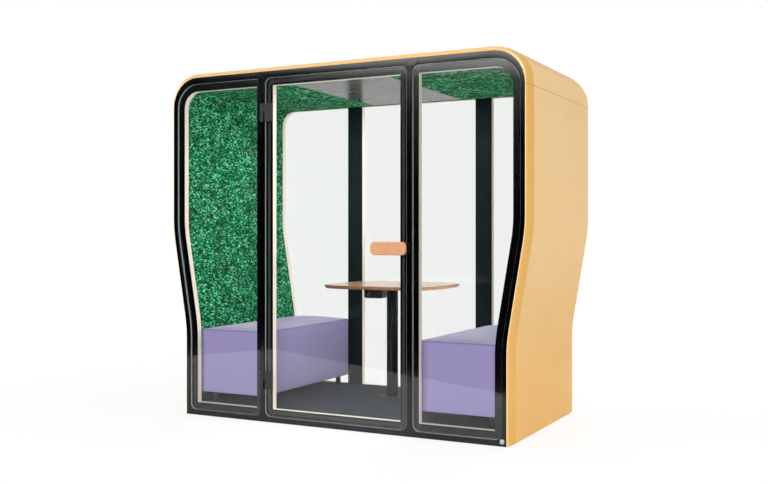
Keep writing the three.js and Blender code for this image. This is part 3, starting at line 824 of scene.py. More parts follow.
class Finish(Enum):
    """Every finish of the pod, by what it covers."""

    SHELL = ShellLacquer()
    BOARD = BlackBoard()
    # Painted reflection: the inside faces get a lighter blue-black that stands in for the bluish
    # reflection they show.
    BOARD_INSIDE = BlackBoard(srgb(14, 22, 25), srgb(20, 29, 32), name="inside_facing_painted_reflection")
    FACING = BlackBoard(roughness=0.1, name="black_fascia", gloss=0.5)
    PLY = PlywoodEdge()
    GLASS = ClearGlass()
    GLASS_EDGE = PolishedGlassEdge()
    FELT = SpeckledFelt()
    WOOL = WovenWool()
    WELT = WovenWool(srgb(106, 98, 132), srgb(92, 85, 116), name="lavender_welt")
    # The top's walnut, lightened in part with painted reflection.
    WALNUT = Walnut()
    WALNUT_EDGE = Walnut(pale=srgb(142, 100, 76), dark=srgb(88, 60, 46), name="walnut_edge")
    LEATHER = TanLeather()
    PILE = LoopPile()
    CEILING = PlainCoat("satin_ceiling", srgb(64, 69, 67), 0.26, grain=300.0, depth=0.0001)
    STEEL = PlainCoat("black_powder_coat", srgb(5, 7, 8), 0.26, grain=900.0, depth=0.0001)
    HINGE = PlainCoat("matte_black_coat", srgb(4, 4, 5), 0.6, grain=900.0, depth=0.0001)
    PLASTIC = PlainCoat("black_plastic", srgb(4, 5, 6), 0.35, grain=600.0)
    RUBBER = PlainCoat("black_rubber", srgb(14, 14, 15), 0.75, grain=500.0)
    PLINTH = PlainCoat("black_plinth", srgb(22, 23, 24), 0.6, grain=200.0)
    BIRCH = PlainCoat("bare_birch", srgb(216, 196, 162), 0.6, grain=120.0)
    ABSORBER = PlainCoat("grey_absorber", srgb(92, 95, 99), 0.95, grain=260.0, depth=0.003)
    DISC = PlainCoat("satin_steel_disc", srgb(188, 190, 188), 0.3, 0.9, grain=900.0, depth=0.0001)
    THREAD = PlainCoat("lavender_thread", srgb(150, 141, 184), 0.7, grain=900.0)

    def made(self) -> bpy.types.Material:
        """Makes the finish's material at its first use.

        Returns:
            The one material of this finish.
        """
        if self not in _MATERIALS:
            _MATERIALS[self] = self.value.material()
        return _MATERIALS[self]


_MATERIALS: dict[Finish, bpy.types.Material] = {}

# Chooses a face's material slot from its normal and its middle.
FaceChoice = Callable[[Vector, Vector], int]

# How far a face may turn away from an axis and still count as an edge or as a flat face.
EDGE_NORMAL = 0.1
PANE_NORMAL = 0.95
TOP_NORMAL = 0.9


def first_slot(normal: Vector, middle: Vector) -> int:
    """Every face takes the first finish."""
    return 0


def board_slot(normal: Vector, middle: Vector) -> int:
    """Makes a board black outside, lightened to blue-black by painted reflection inside the pod,
    with plies on its edges.

    Args:
        normal: The face's normal.
        middle: The face's middle.

    Returns:
        0 outside, 1 for an edge and 2 inside.
    """
    if abs(normal.y) < EDGE_NORMAL:
        return 1
    return 2 if normal.y * middle.y < 0 else 0


def pane_slot(normal: Vector, middle: Vector) -> int:
    """The two large faces of a pane are clear, and its rim is polished."""
    return 0 if abs(normal.y) > PANE_NORMAL else 1


def table_slot(normal: Vector, middle: Vector) -> int:
    """The upper face of the table is veneer, lightened in part with painted reflection, and its
    edge is darker.
    """
    return 0 if normal.z > TOP_NORMAL else 1


def put_in_scene(name: str, data: bpy.types.ID) -> bpy.types.Object:
    """Makes an object of a mesh, a camera or a lamp.

    Args:
        name: The object's name.
        data: What the object shows.

    Returns:
        The object, in the scene.
    """
    made = bpy.data.objects.new(name, data)
    bpy.context.scene.collection.objects.link(made)
    return made


def new_piece(name: str, mesh: bpy.types.Mesh, body: str, slot: str) -> bpy.types.Object:
    """Puts a mesh in the scene as a piece of the pod.

    Args:
        name: The piece's name.
        mesh: Its mesh, already in place.
        body: The CAD body that it rides on.
        slot: The record's material slot; not used.

    Returns:
        The new object.
    """
    piece = put_in_scene(name, mesh)
    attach(piece, body)
    LOG.info("%s rides on %s", name, body)
    return piece


def body_of_node(node: str) -> str:
    """The CAD body that a node belongs to."""
    return frame["nodes"][node]["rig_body"]


def slot_of_node(node: str) -> str:
    """The record's material slot of a node."""
    subparts = frame["record"]["subparts"]
    return next(part["material_slot"] for part in subparts if part["node"] == node)


def finished_mesh(name: str, shape: bmesh.types.BMesh) -> bpy.types.Mesh:
    """Turns a shape into a mesh.

    Args:
        name: The mesh's name.
        shape: The shape, which is freed.

    Returns:
        The mesh.
    """
    mesh = bpy.data.meshes.new(name)
    shape.to_mesh(mesh)
    shape.free()
    return mesh


def evaluated_mesh(carrier: bpy.types.Object) -> bpy.types.Mesh:
    """An object's mesh as its modifiers leave it."""
    graph = bpy.context.evaluated_depsgraph_get()
    return bpy.data.meshes.new_from_object(carrier.evaluated_get(graph), depsgraph=graph)


@dataclass
class DressedNode:
    """A rigid CAD node carried over as a merged copy with eased edges and finishes by face."""

    node: str
    finishes: tuple[Finish, ...]
    easing: float = 0.0008
    choose: FaceChoice = first_slot
    sharp_angle: float = math.radians(28)

    def build(self) -> None:
        """Makes the piece and lets it stand for its node."""
        shape = self._merged()
        if self.easing > NO_EASING:
            self._ease(shape)
        shape.normal_update()
        for face in shape.faces:
            face.smooth = True
            face.material_index = self.choose(face.normal, face.calc_center_median())
        if self.easing == NO_EASING:
            for edge in shape.edges:
                edge.smooth = edge.calc_face_angle(0.0) < self.sharp_angle
        mesh = finished_mesh(f"{self.node}_finished", shape)
        for finish in self.finishes:
            mesh.materials.append(finish.made())
        piece = new_piece(mesh.name, mesh, body_of_node(self.node), slot_of_node(self.node))
        even = piece.modifiers.new("even_normals", "WEIGHTED_NORMAL")
        even.keep_sharp = True
        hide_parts(self.node)

    def _merged(self) -> bmesh.types.BMesh:
        """Copies the node's loose triangles into one closed shape.

        Returns:
            The shape, with its flat faces joined.
        """
        shape = bmesh.new()
        shape.from_mesh(frame["nodes"][self.node].data)
        bmesh.ops.remove_doubles(shape, verts=shape.verts, dist=MERGE_DISTANCE)
        bmesh.ops.dissolve_limit(
            shape, angle_limit=FLAT_ANGLE, verts=shape.verts, edges=shape.edges
        )
        many_sided = [face for face in shape.faces if len(face.verts) > QUAD]
        bmesh.ops.triangulate(shape, faces=many_sided)
        return shape

    def _ease(self, shape: bmesh.types.BMesh) -> None:
        """Rounds the sharp edges a little.

        Args:
            shape: The shape that is eased.
        """
        edges = [
            edge for edge in shape.edges
            if edge.is_manifold and edge.calc_face_angle(0.0) > self.sharp_angle
        ]
        bmesh.ops.bevel(
            shape, geom=edges, offset=self.easing, segments=EASING_SEGMENTS, profile=0.5,
            affect="EDGES", clamp_overlap=True,
        )


def paint(nodes: Iterable[str], finish: Finish) -> None:
    """Gives CAD nodes that keep their own mesh a finish.

    Args:
        nodes: The nodes' names.
        finish: The finish that they get.
    """
    for node in nodes:
        materials = frame["nodes"][node].data.materials
        materials.clear()
        materials.append(finish.made())
        LOG.info("%s keeps its CAD mesh", node)


def turned(
    name: str, rings: Sequence[tuple[float, float]], height: float, count: int = 40
) -> bpy.types.Mesh:
    """Makes a closed turned shape that stands on its first ring.

    Args:
        name: The mesh's name.
        rings: Radius and share of the height, from the foot to the crown.
        height: The height of the shape.
        count: How many points go round it.

    Returns:
        The mesh, standing on the X-Y plane.
    """
    shape = bmesh.new()
    angles = [math.tau * i / count for i in range(count)]
    loops = [
        [
            shape.verts.new((radius * math.cos(a), radius * math.sin(a), share * height))
            for a in angles
        ]
        for radius, share in rings
    ]
    for lower, upper in zip(loops, loops[1:]):
        for i in range(count):
            j = (i + 1) % count
            shape.faces.new((lower[i], lower[j], upper[j], upper[i]))
    shape.faces.new(list(reversed(loops[0])))
    shape.faces.new(loops[-1])
    for face in shape.faces:
        face.smooth = len(face.verts) == QUAD
    return finished_mesh(name, shape)


def grid_ring(inset: int, nx: int, ny: int) -> list[tuple[int, int]]:
    """Walks round a grid at some cells from its rim.

    Args:
        inset: How many cells inside the rim.
        nx: How many cells go across.
        ny: How many cells go along.

    Returns:
        The grid places in order, each once.
    """
    left, right, near, far = inset, nx - inset, inset, ny - inset
    ring = [(i, near) for i in range(left, right)] + [(right, j) for j in range(near, far)]
    ring += [(i, far) for i in range(right, left, -1)]
    return ring + [(left, j) for j in range(far, near, -1)]


def path_mesh(name: str, paths: Sequence[Sequence[Vector]], closed: bool) -> bpy.types.Mesh:
    """Makes a mesh of edges along paths, as a guide for geometry nodes.

    Args:
        name: The mesh's name.
        paths: The points of each path.
        closed: Whether each path ends where it starts.

    Returns:
        The mesh of edges.
    """
    points: list[Vector] = []
    edges: list[tuple[int, int]] = []
    for path in paths:
        start = len(points)
        points.extend(path)
        edges.extend((start + i, start + i + 1) for i in range(len(path) - 1))
        if closed:
            edges.append((len(points) - 1, start))
    mesh = bpy.data.meshes.new(name)
    mesh.from_pydata(points, edges, [])
    return mesh


class GeometryTree(Graph):
    """A geometry node tree with named inputs, whose result becomes a plain mesh."""

    def __init__(self, name: str, sizes: Mapping[str, float]) -> None:
        """Makes the tree with a geometry input and one number for each named size.

        Args:
            name: The tree's name.
            sizes: The named sizes and their values.
        """
        super().__init__(bpy.data.node_groups.new(name, "GeometryNodeTree"))
        interface = self.tree.interface
        for way in ("INPUT", "OUTPUT"):
            interface.new_socket(
                name="Geometry", in_out=way, socket_type="NodeSocketGeometry"
            )
        self.settings: dict[str, float] = {}
        for size, value in sizes.items():
            socket = interface.new_socket(
                name=size, in_out="INPUT", socket_type="NodeSocketFloat"
            )
            self.settings[socket.identifier] = value
        self.given = self.node("NodeGroupInput").outputs

    def end(self, geometry: bpy.types.NodeSocket, finish: Finish) -> None:
        """Ends the tree in real geometry with one finish.

        Args:
            geometry: The socket with the geometry.
            finish: The finish that it gets.
        """
        real = self.node("GeometryNodeRealizeInstances", None, {0: geometry})
        smooth = self.node("GeometryNodeSetShadeSmooth", None, {0: real.outputs[0]})
        dressed = self.node(
            "GeometryNodeSetMaterial", None, {0: smooth.outputs[0], "Material": finish.made()}
        )
        self.node("NodeGroupOutput", None, {0: dressed.outputs[0]})

    def run(self, name: str, guide: bpy.types.Mesh) -> bpy.types.Mesh:
        """Runs the tree on a guide mesh.

        Args:
            name: The result's name.
            guide: The points or path that the tree follows.

        Returns:
            The result as a plain mesh.
        """
        carrier = put_in_scene(f"{name}_guide", guide)
        modifier = carrier.modifiers.new("geometry", "NODES")
        modifier.node_group = self.tree
        for identifier, value in self.settings.items():
            modifier[identifier] = value
        mesh = evaluated_mesh(carrier)
        mesh.name = name
        carrier.modifiers.remove(modifier)
        bpy.data.objects.remove(carrier)
        return mesh


@dataclass
class Shell:
    """The golden tunnel with its absorber, lining, floor and ceiling."""

    carpet_steps: tuple[int, int] = (208, 112)
    carpet_ripple: float = 0.0006
    ripple_scale: float = 90.0
    rim_drop: float = 0.0015
    lacquer_angle: float = math.radians(40)
    ceiling_easing: float = 0.001

    def build(self) -> None:
        """Dresses the layers of the tunnel."""
        for node in ("left_wall_shell", "right_wall_shell", "roof_shell"):
            DressedNode(node, (Finish.SHELL,), NO_EASING, sharp_angle=self.lacquer_angle).build()
        for node in ("left_lining", "right_lining"):
            DressedNode(node, (Finish.FELT,), NO_EASING).build()
        DressedNode("ceiling_panel", (Finish.CEILING,), self.ceiling_easing).build()
        paint(("left_wall_core", "right_wall_core", "roof_core"), Finish.ABSORBER)
        paint(("base_platform",), Finish.PLINTH)
        paint(("fan_housing", "fan_rotor"), Finish.PLASTIC)
        self.lay_carpet()

    def lay_carpet(self) -> None:
        """Lays the carpet: one sheet whose pile rises and falls a little."""
        low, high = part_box("floor_carpet")
        shape = self._sheet(low, high)
        for face in shape.faces:
            face.smooth = True
        mesh = finished_mesh("carpet_pile", shape)
        mesh.materials.append(Finish.PILE.made())
        carpet = new_piece("carpet_pile", mesh, "pod", "carpet")
        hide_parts("floor_carpet")

    def _sheet(self, low: Vector, high: Vector) -> bmesh.types.BMesh:
        """Makes the sheet: a rippled pile with a lower rim, a skirt and a flat underside.

        Args:
            low: The low corner of the carpet's box.
            high: Its high corner.

        Returns:
            The closed sheet.
        """
        shape = bmesh.new()
        across, along = self.carpet_steps
        rows = []
        for j in range(along + 1):
            row = []
            for i in range(across + 1):
                x = low.x + (high.x - low.x) * i / across
                y = low.y + (high.y - low.y) * j / along
                if i in (0, across) or j in (0, along):
                    z = high.z - self.rim_drop
                else:
                    wave = noise.noise(Vector((x, y, 0.0)) * self.ripple_scale)
                    z = high.z - self.carpet_ripple + wave * self.carpet_ripple
                row.append(shape.verts.new((x, y, z)))
            rows.append(row)
        for near, far in zip(rows, rows[1:]):
            for i in range(across):
                shape.faces.new((near[i], near[i + 1], far[i + 1], far[i]))
        rim = [rows[j][i] for i, j in grid_ring(0, across, along)]
        foot = [shape.verts.new((vert.co.x, vert.co.y, low.z)) for vert in rim]
        for i in range(len(rim)):
            shape.faces.new((foot[i - 1], foot[i], rim[i], rim[i - 1]))
        shape.faces.new(foot[::-1])
        return shape


def dress_pane(node: str, easing: float = 0.001) -> None:
    """Dresses a pane: clear faces and a polished rim."""
    DressedNode(node, (Finish.GLASS, Finish.GLASS_EDGE), easing, pane_slot).build()


@dataclass
class GlazedEnds:
    """Frames, fascias and panes of the front and the back."""

    board_easing: float = 0.0006
    fascia_easing: float = 0.0009
    disc_place: tuple[float, float] = (1.068, 0.029)
    disc_radius: float = 0.0135
    disc_height: float = 0.0024
    disc_gap: float = 0.0001
    disc_rings: tuple[Span, ...] = (
        (1.0, 0.0), (1.0, 0.5), (0.95, 0.85), (0.86, 1.0), (0.8, 0.9), (0.4, 0.9),
    )

    def build(self) -> None:
        """Dresses both glazed ends."""
        for end in ("front", "back"):
            for side in ("left", "right"):
                self._board(f"{end}_{side}_frame")
                dress_pane(f"{end}_{side}_glass")
            for bay in ("left", "centre", "right"):
                fascia = f"{end}_{bay}_fascia"
                DressedNode(fascia, (Finish.FACING,), self.fascia_easing).build()
        self._board("back_centre_frame")
        for node in ("door_left_jamb", "door_right_jamb", "door_head", "door_sill"):
            self._board(node)
        dress_pane("back_centre_glass")
        paint(("door_seal",), Finish.RUBBER)
        self.fix_disc()

    def _board(self, node: str) -> None:
        """Dresses a plywood frame: black faces and clear edges."""
        finishes = (Finish.BOARD, Finish.PLY, Finish.BOARD_INSIDE)
        DressedNode(node, finishes, self.board_easing, board_slot).build()

    def fix_disc(self) -> None:
        """Fixes the small blank disc in the lower corner of the right fascia."""
        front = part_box("front_right_fascia")[0].y
        x, z = self.disc_place
        rings = [(self.disc_radius * share, level) for share, level in self.disc_rings]
        mesh = turned("blank_disc", rings, self.disc_height)
        mesh.transform(Matrix.Translation((x, front - self.disc_gap, z)) @ FACING_FRONT)
        mesh.materials.append(Finish.DISC.made())
        new_piece("blank_disc", mesh, "pod", "black_metal")


@dataclass
class Door:
    """The glass door with its handles and hinges."""

    leather_angle: float = math.radians(50)
    spacer_easing: float = 0.001
    plate_easing: float = 0.0006
    leaf_easing: float = 0.0005
    screw_radius: float = 0.0042
    screw_height: float = 0.0012
    screw_sides: int = 20
    screw_inset: float = 0.02
    screw_rows: tuple[float, ...] = (-0.04, 0.0, 0.04)
    recess_radius: float = 0.0018
    recess_sides: int = 6
    recess_depth: float = 0.01
    recess_lift: float = 0.0052

    def build(self) -> None:
        """Dresses the door."""
        dress_pane("door_glass")
        for node in ("outer_handle_grip", "inner_handle"):
            DressedNode(node, (Finish.LEATHER,), NO_EASING, sharp_angle=self.leather_angle).build()
        DressedNode("outer_handle_spacer", (Finish.STEEL,), self.spacer_easing).build()
        for place in ("upper", "lower"):
            DressedNode(f"{place}_hinge_plate", (Finish.HINGE,), self.plate_easing).build()
            DressedNode(f"{place}_hinge_leaf", (Finish.HINGE,), self.leaf_easing).build()
        self.set_screws()

    def set_screws(self) -> None:
        """Sets the socket screws of both hinge plates in one go."""
        guide = bpy.data.meshes.new("screw_places")
        guide.from_pydata(self._screw_places(), [], [])
        tree = GeometryTree(
            "screw_heads",
            {
                "Radius": self.screw_radius, "Height": self.screw_height,
                "Recess Radius": self.recess_radius, "Recess Depth": self.recess_depth,
            },
        )
        sizes = tree.given
        head = tree.node(
            "GeometryNodeMeshCylinder", None,
            {
                "Vertices": self.screw_sides, "Side Segments": 1,
                "Radius": sizes["Radius"], "Depth": sizes["Height"],
            },
        )
        recess = tree.node(
            "GeometryNodeMeshCylinder", None,
            {
                "Vertices": self.recess_sides, "Side Segments": 1,
                "Radius": sizes["Recess Radius"], "Depth": sizes["Recess Depth"],
            },
        )
        lifted = tree.node(
            "GeometryNodeTransform", None,
            {0: recess.outputs[0], "Translation": (0.0, 0.0, self.recess_lift)},
        )
        cut = tree.node(
            "GeometryNodeMeshBoolean", {"operation": "DIFFERENCE", "solver": "EXACT"},
            {0: head.outputs[0], 1: lifted.outputs[0]},
        )
        heads = tree.node(
            "GeometryNodeInstanceOnPoints", None,
            {
                "Points": sizes["Geometry"], "Instance": cut.outputs[0],
                "Rotation": FACING_FRONT.to_euler(),
            },
        )
        tree.end(heads.outputs[0], Finish.STEEL)
        mesh = tree.run("hinge_screws", guide)
        new_piece("hinge_screws", mesh, "door", "black_metal")

    def _screw_places(self) -> list[Triple]:
        """Finds the middles of the screw heads on the fronts of the plates.

        Returns:
            The place of each screw.
        """
        places = []
        for node in ("upper_hinge_plate", "lower_hinge_plate"):
            low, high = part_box(node)
            middle = (low + high) / 2
            vertices = frame["nodes"][node].data.vertices
            front = min(v.co.y for v in vertices if v.co.x > middle.x)
            x = high.x - self.screw_inset
            places.extend((x, front, middle.z + row) for row in self.screw_rows)
        return places


# The vertex group that holds the cloth, and how a tight cover behaves.
PINNED = "held"
TIGHT_CLOTH = {
    "quality": 6,
    "mass": 0.3,
    "tension_stiffness": 18.0,
    "compression_stiffness": 18.0,
    "shear_stiffness": 6.0,
    "bending_stiffness": 0.6,
    "use_pressure": True,
    "uniform_pressure_force": 4.0,
    "vertex_group_mass": PINNED,
}


@dataclass
class Bench:
    """A bench cushion: a tight upholstered block over a hidden carcass, sewn along its edges.

    The block is made about the middle of its plan, with its table side towards -X.
    """

    side: str
    step: float = 0.0135
    inner_corner: float = 0.045
    outer_corner: float = 0.014
    edge: float = 0.009
    wall: float = 0.022
    wall_cells: int = 2
    pocket_top: float = 0.4305
    crown: float = 0.016
    swell_cap: float = 0.006
    seam_hold: float = 0.9
    frames: int = 20
    fold_zone: float = 0.05
    fold_reach: float = 0.11
    fold_spread: float = 0.08
    fold_width: float = 0.03
    fold_depth: float = 0.0035
    wander: float = 0.0012
    wander_scale: float = 9.0
    welt: float = 0.0026
    welt_step: float = 0.012
    welt_sides: int = 8
    stitch: float = 0.0018
    stitch_length: float = 0.0052
    stitch_pitch: float = 0.0075
    foot_easing: float = 0.0015
    low: Vector = field(init=False)
    high: Vector = field(init=False)
    half_x: float = field(init=False)
    half_y: float = field(init=False)

    def __post_init__(self) -> None:
        """Takes the box of the CAD cushion."""
        self.low, self.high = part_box(f"{self.side}_bench_cushion")
        self.half_x = (self.high.x - self.low.x) / 2
        self.half_y = (self.high.y - self.low.y) / 2

    def _lines(self, half: float) -> list[float]:
        """Spaces the grid lines across the block, with two cells in the wall on each side.

        Args:
            half: Half the block's length that way.

        Returns:
            The lines, from one side to the other.
        """
        inner = half - self.wall
        count = 2 * round(inner / self.step)
        middle = [-inner + 2 * inner * i / count for i in range(count + 1)]
        return [-half, -half + self.wall / 2, *middle, half - self.wall / 2, half]

    def _corner(self, x: float) -> float:
        """The corner radius on the side of x: large towards the table, small at the wall."""
        return self.inner_corner if x < 0 else self.outer_corner

    def _outline_gap(self, x: float, y: float) -> tuple[float, Vector]:
        """Measures from a point to the rounded outline of the plan.

        Args:
            x: The point's X.
            y: The point's Y.

        Returns:
            How far inside the outline the point lies, and which way is out.
        """
        corner = self._corner(x)
        past_x = abs(x) - (self.half_x - corner)
        past_y = abs(y) - (self.half_y - corner)
        if past_x > 0 and past_y > 0:
            away = Vector((math.copysign(past_x, x), math.copysign(past_y, y), 0.0))
            return corner - away.length, away.normalized()
        if past_x > past_y:
            return self.half_x - abs(x), Vector((math.copysign(1.0, x), 0.0, 0.0))
        return self.half_y - abs(y), Vector((0.0, math.copysign(1.0, y), 0.0))

    def _rounded_plan(self, x: float, y: float) -> tuple[float, float]:
        """Moves a point of the square plan into the plan with rounded corners.

        Args:
            x: The point's X.
            y: The point's Y.

        Returns:
            The new X and Y.
        """
        inner_x, inner_y = self.half_x - self._corner(x), self.half_y - self._corner(x)
        dx, dy = max(abs(x) - inner_x, 0.0), max(abs(y) - inner_y, 0.0)
        if dx > 0 and dy > 0:
            scale = max(dx, dy) / math.hypot(dx, dy)
            x = math.copysign(inner_x + dx * scale, x)
            y = math.copysign(inner_y + dy * scale, y)
        return x, y

    def _shaped(self, x: float, y: float, z: float, top: float) -> Vector:
        """Moves a point of the plain block onto the rounded and crowned one.

        Args:
            x: The point's X.
            y: The point's Y.
            z: The point's Z.
            top: The top of the block under its crown.

        Returns:
            The new place.
        """
        x, y = self._rounded_plan(x, y)
        gap, out = self._outline_gap(x, y)
        inward = self.edge - max(gap, 0.0)
        upward = z - (top - self.edge)
        place = Vector((x, y, z))
        if inward > 0 and upward > 0:
            scale = max(inward, upward) / math.hypot(inward, upward)
            place += out * (inward * scale - inward)
            place.z = top - self.edge + upward * scale
        if upward > 0:
            share = min(max(gap / self.half_x, 0.0), 1.0)
            place.z += self.crown * math.sin(share * math.pi / 2)
        return place

    def block(self) -> tuple[bpy.types.Mesh, dict[str, list[int]]]:
        """Makes the block before it swells, with a pocket for the carcass in its underside.

        Returns:
            The mesh, and the vertices of its seams and of what the carcass holds.
        """
        bottom, top = self.low.z, self.high.z - self.crown
        xs, ys = self._lines(self.half_x), self._lines(self.half_y)
        nx, ny, nz = len(xs) - 1, len(ys) - 1, round((top - bottom) / self.step)
        zs = [bottom + (top - bottom) * k / nz for k in range(nz + 1)]
        pocket = -1
        rim = self.wall_cells
        shape = bmesh.new()
        verts: dict[tuple[int, int, int], bmesh.types.BMVert] = {}

        def vert(i: int, j: int, k: int) -> bmesh.types.BMVert:
            """Finds the vertex at a grid place, and makes it at its first use.

            Args:
                i: The line across.
                j: The line along.
                k: The level, or the pocket's roof.

            Returns:
                The vertex.
            """
            if (i, j, k) not in verts:
                if k == pocket:
                    place = Vector((xs[i], ys[j], self.pocket_top))
                else:
                    place = self._shaped(xs[i], ys[j], zs[k], top)
                verts[i, j, k] = shape.verts.new(place)
            return verts[i, j, k]

        def quad(*places: tuple[int, int, int]) -> None:
            """One face between grid places."""
            shape.faces.new([vert(*place) for place in places])

        for i in range(nx):
            for j in range(ny):
                quad((i, j, nz), (i + 1, j, nz), (i + 1, j + 1, nz), (i, j + 1, nz))
                over_carcass = rim <= i < nx - rim and rim <= j < ny - rim
                k = pocket if over_carcass else 0
                quad((i, j, k), (i, j + 1, k), (i + 1, j + 1, k), (i + 1, j, k))
        for k in range(nz):
            for i in range(nx):
                quad((i, 0, k), (i + 1, 0, k), (i + 1, 0, k + 1), (i, 0, k + 1))
                quad((i + 1, ny, k), (i, ny, k), (i, ny, k + 1), (i + 1, ny, k + 1))
            for j in range(ny):
                quad((0, j + 1, k), (0, j, k), (0, j, k + 1), (0, j + 1, k + 1))
                quad((nx, j, k), (nx, j + 1, k), (nx, j + 1, k + 1), (nx, j, k + 1))
        for i in range(rim, nx - rim):
            j = rim
            quad((i + 1, j, 0), (i, j, 0), (i, j, pocket), (i + 1, j, pocket))
            j = ny - rim
            quad((i, j, 0), (i + 1, j, 0), (i + 1, j, pocket), (i, j, pocket))
        for j in range(rim, ny - rim):
            i = rim
            quad((i, j, 0), (i, j + 1, 0), (i, j + 1, pocket), (i, j, pocket))
            i = nx - rim
            quad((i, j + 1, 0), (i, j, 0), (i, j, pocket), (i, j + 1, pocket))
        bmesh.ops.recalc_face_normals(shape, faces=shape.faces)
        shape.verts.index_update()
        marks = {
            "welt": [verts[i, j, nz].index for i, j in grid_ring(0, nx, ny)],
            "stitches": [verts[i, j, nz].index for i, j in grid_ring(1, nx, ny)],
            "held": [v.index for (i, j, k), v in verts.items() if k <= 0],
        }
        for count, (i, j) in enumerate(((0, 0), (nx, 0), (nx, ny), (0, ny))):
            marks[f"corner_{count}"] = [verts[i, j, k].index for k in range(1, nz + 1)]
        for face in shape.faces:
            face.smooth = True
        return finished_mesh(f"{self.side}_bench_block", shape), marks

    def swell(self, mesh: bpy.types.Mesh, marks: Mapping[str, list[int]]) -> bpy.types.Mesh:
        """Swells the block with cloth simulation, held at its seams.

        Args:
            mesh: The block.
            marks: Its seam and held vertices.

        Returns:
            The swollen mesh.
        """
        carrier = put_in_scene(f"{self.side}_bench_swelling", mesh)
        pins = carrier.vertex_groups.new(name=PINNED)
        pins.add(marks["held"], 1.0, "REPLACE")
        free = ("held", "stitches")
        seams = [i for key, run in marks.items() if key not in free for i in run]
        pins.add(seams, self.seam_hold, "REPLACE")
        cloth = carrier.modifiers.new("cloth", "CLOTH")
        for key, value in TIGHT_CLOTH.items():
            setattr(cloth.settings, key, value)
        cloth.settings.effector_weights.gravity = 0.0
        cloth.collision_settings.use_collision = False
        scene = bpy.context.scene
        for step in range(1, self.frames + 1):
            scene.frame_set(step)
        swollen = evaluated_mesh(carrier)
        for start, end in zip(mesh.vertices, swollen.vertices):
            shift = end.co - start.co
            if shift.length > self.swell_cap:
                end.co = start.co + shift.normalized() * self.swell_cap
        carrier.modifiers.remove(cloth)
        bpy.data.objects.remove(carrier)
        scene.frame_set(1)
        return swollen

    def crease(self, mesh: bpy.types.Mesh) -> None:
        """Presses soft diagonal folds into the top near its corners, and a little wander all over.

        Args:
            mesh: The swollen block.
        """
        for vertex in mesh.vertices:
            place = vertex.co
            if place.z < self.high.z - self.fold_zone:
                continue
            near_x, near_y = self.half_x - abs(place.x), self.half_y - abs(place.y)
            across = (near_x - near_y) / math.sqrt(2)
            reach = (near_x + near_y) / math.sqrt(2)
            along_fold = math.exp(-((reach - self.fold_reach) / self.fold_spread) ** 2)
            beside_fold = math.exp(-(across / self.fold_width) ** 2)
            vertex.co.z -= self.fold_depth * along_fold * beside_fold
            vertex.co.z += self.wander * noise.noise(place * self.wander_scale)

    def build(self, swollen: bpy.types.Mesh, marks: Mapping[str, list[int]]) -> None:
        """Places the swollen block and sews its edges.

        Args:
            swollen: The cushion's mesh about the middle of its plan.
            marks: The vertices of its seams.
        """
        mesh = swollen.copy()
        mesh.name = f"{self.side}_bench_upholstery"
        middle = (self.low + self.high) / 2
        turn = Matrix.Rotation(math.pi if self.side == "left" else 0.0, 4, "Z")
        mesh.transform(Matrix.Translation((middle.x, middle.y, 0.0)) @ turn)
        mesh.materials.clear()
        mesh.materials.append(Finish.WOOL.made())
        piece = new_piece(mesh.name, mesh, "pod", "bench_cloth")
        finer = piece.modifiers.new("finer", "SUBSURF")
        finer.levels = finer.render_levels = 1
        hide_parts(f"{self.side}_bench_cushion")
        self.sew(mesh, marks)
        for end in ("front", "back"):
            for row in ("inner", "outer"):
                foot = f"{self.side}_bench_{end}_{row}_foot"
                DressedNode(foot, (Finish.PLASTIC,), self.foot_easing).build()
        paint((f"{self.side}_bench_carcass",), Finish.BIRCH)

    def sew(self, mesh: bpy.types.Mesh, marks: Mapping[str, list[int]]) -> None:
        """Lays the welts along the top edge and down the corners, and the row of stitches.

        Args:
            mesh: The cushion's mesh, in place.
            marks: The vertices of its seams.
        """
        paths = {
            key: [mesh.vertices[i].co.copy() for i in run] for key, run in marks.items()
        }
        corners = [path for key, path in paths.items() if key.startswith("corner")]
        self.lay_welts("top_welt", [paths["welt"]], True)
        self.lay_welts("corner_welts", corners, False)
        sunk = Vector((0.0, 0.0, self.stitch * 0.5))
        self.stitch_along([point - sunk for point in paths["stitches"]])

    def lay_welts(self, name: str, paths: Sequence[Sequence[Vector]], closed: bool) -> None:
        """Lays round welts along paths.

        Args:
            name: What the welts are called.
            paths: The points that each welt follows.
            closed: Whether each welt ends where it starts.
        """
        tree = GeometryTree(
            f"{self.side}_{name}", {"Radius": self.welt, "Step": self.welt_step}
        )
        sizes = tree.given
        line = tree.node("GeometryNodeMeshToCurve", None, {0: sizes["Geometry"]})
        even = tree.node(
            "GeometryNodeResampleCurve", {"mode": "LENGTH"},
            {"Curve": line.outputs[0], "Length": sizes["Step"]},
        )
        circle = tree.node(
            "GeometryNodeCurvePrimitiveCircle", None,
            {"Resolution": self.welt_sides, "Radius": sizes["Radius"]},
        )
        tube = tree.node(
            "GeometryNodeCurveToMesh", None,
            {"Curve": even.outputs[0], "Profile Curve": circle.outputs[0], "Fill Caps": True},
        )
        tree.end(tube.outputs[0], Finish.WELT)
        made = tree.run(f"{self.side}_bench_{name}", path_mesh(name, paths, closed))
        new_piece(made.name, made, "pod", "bench_cloth")

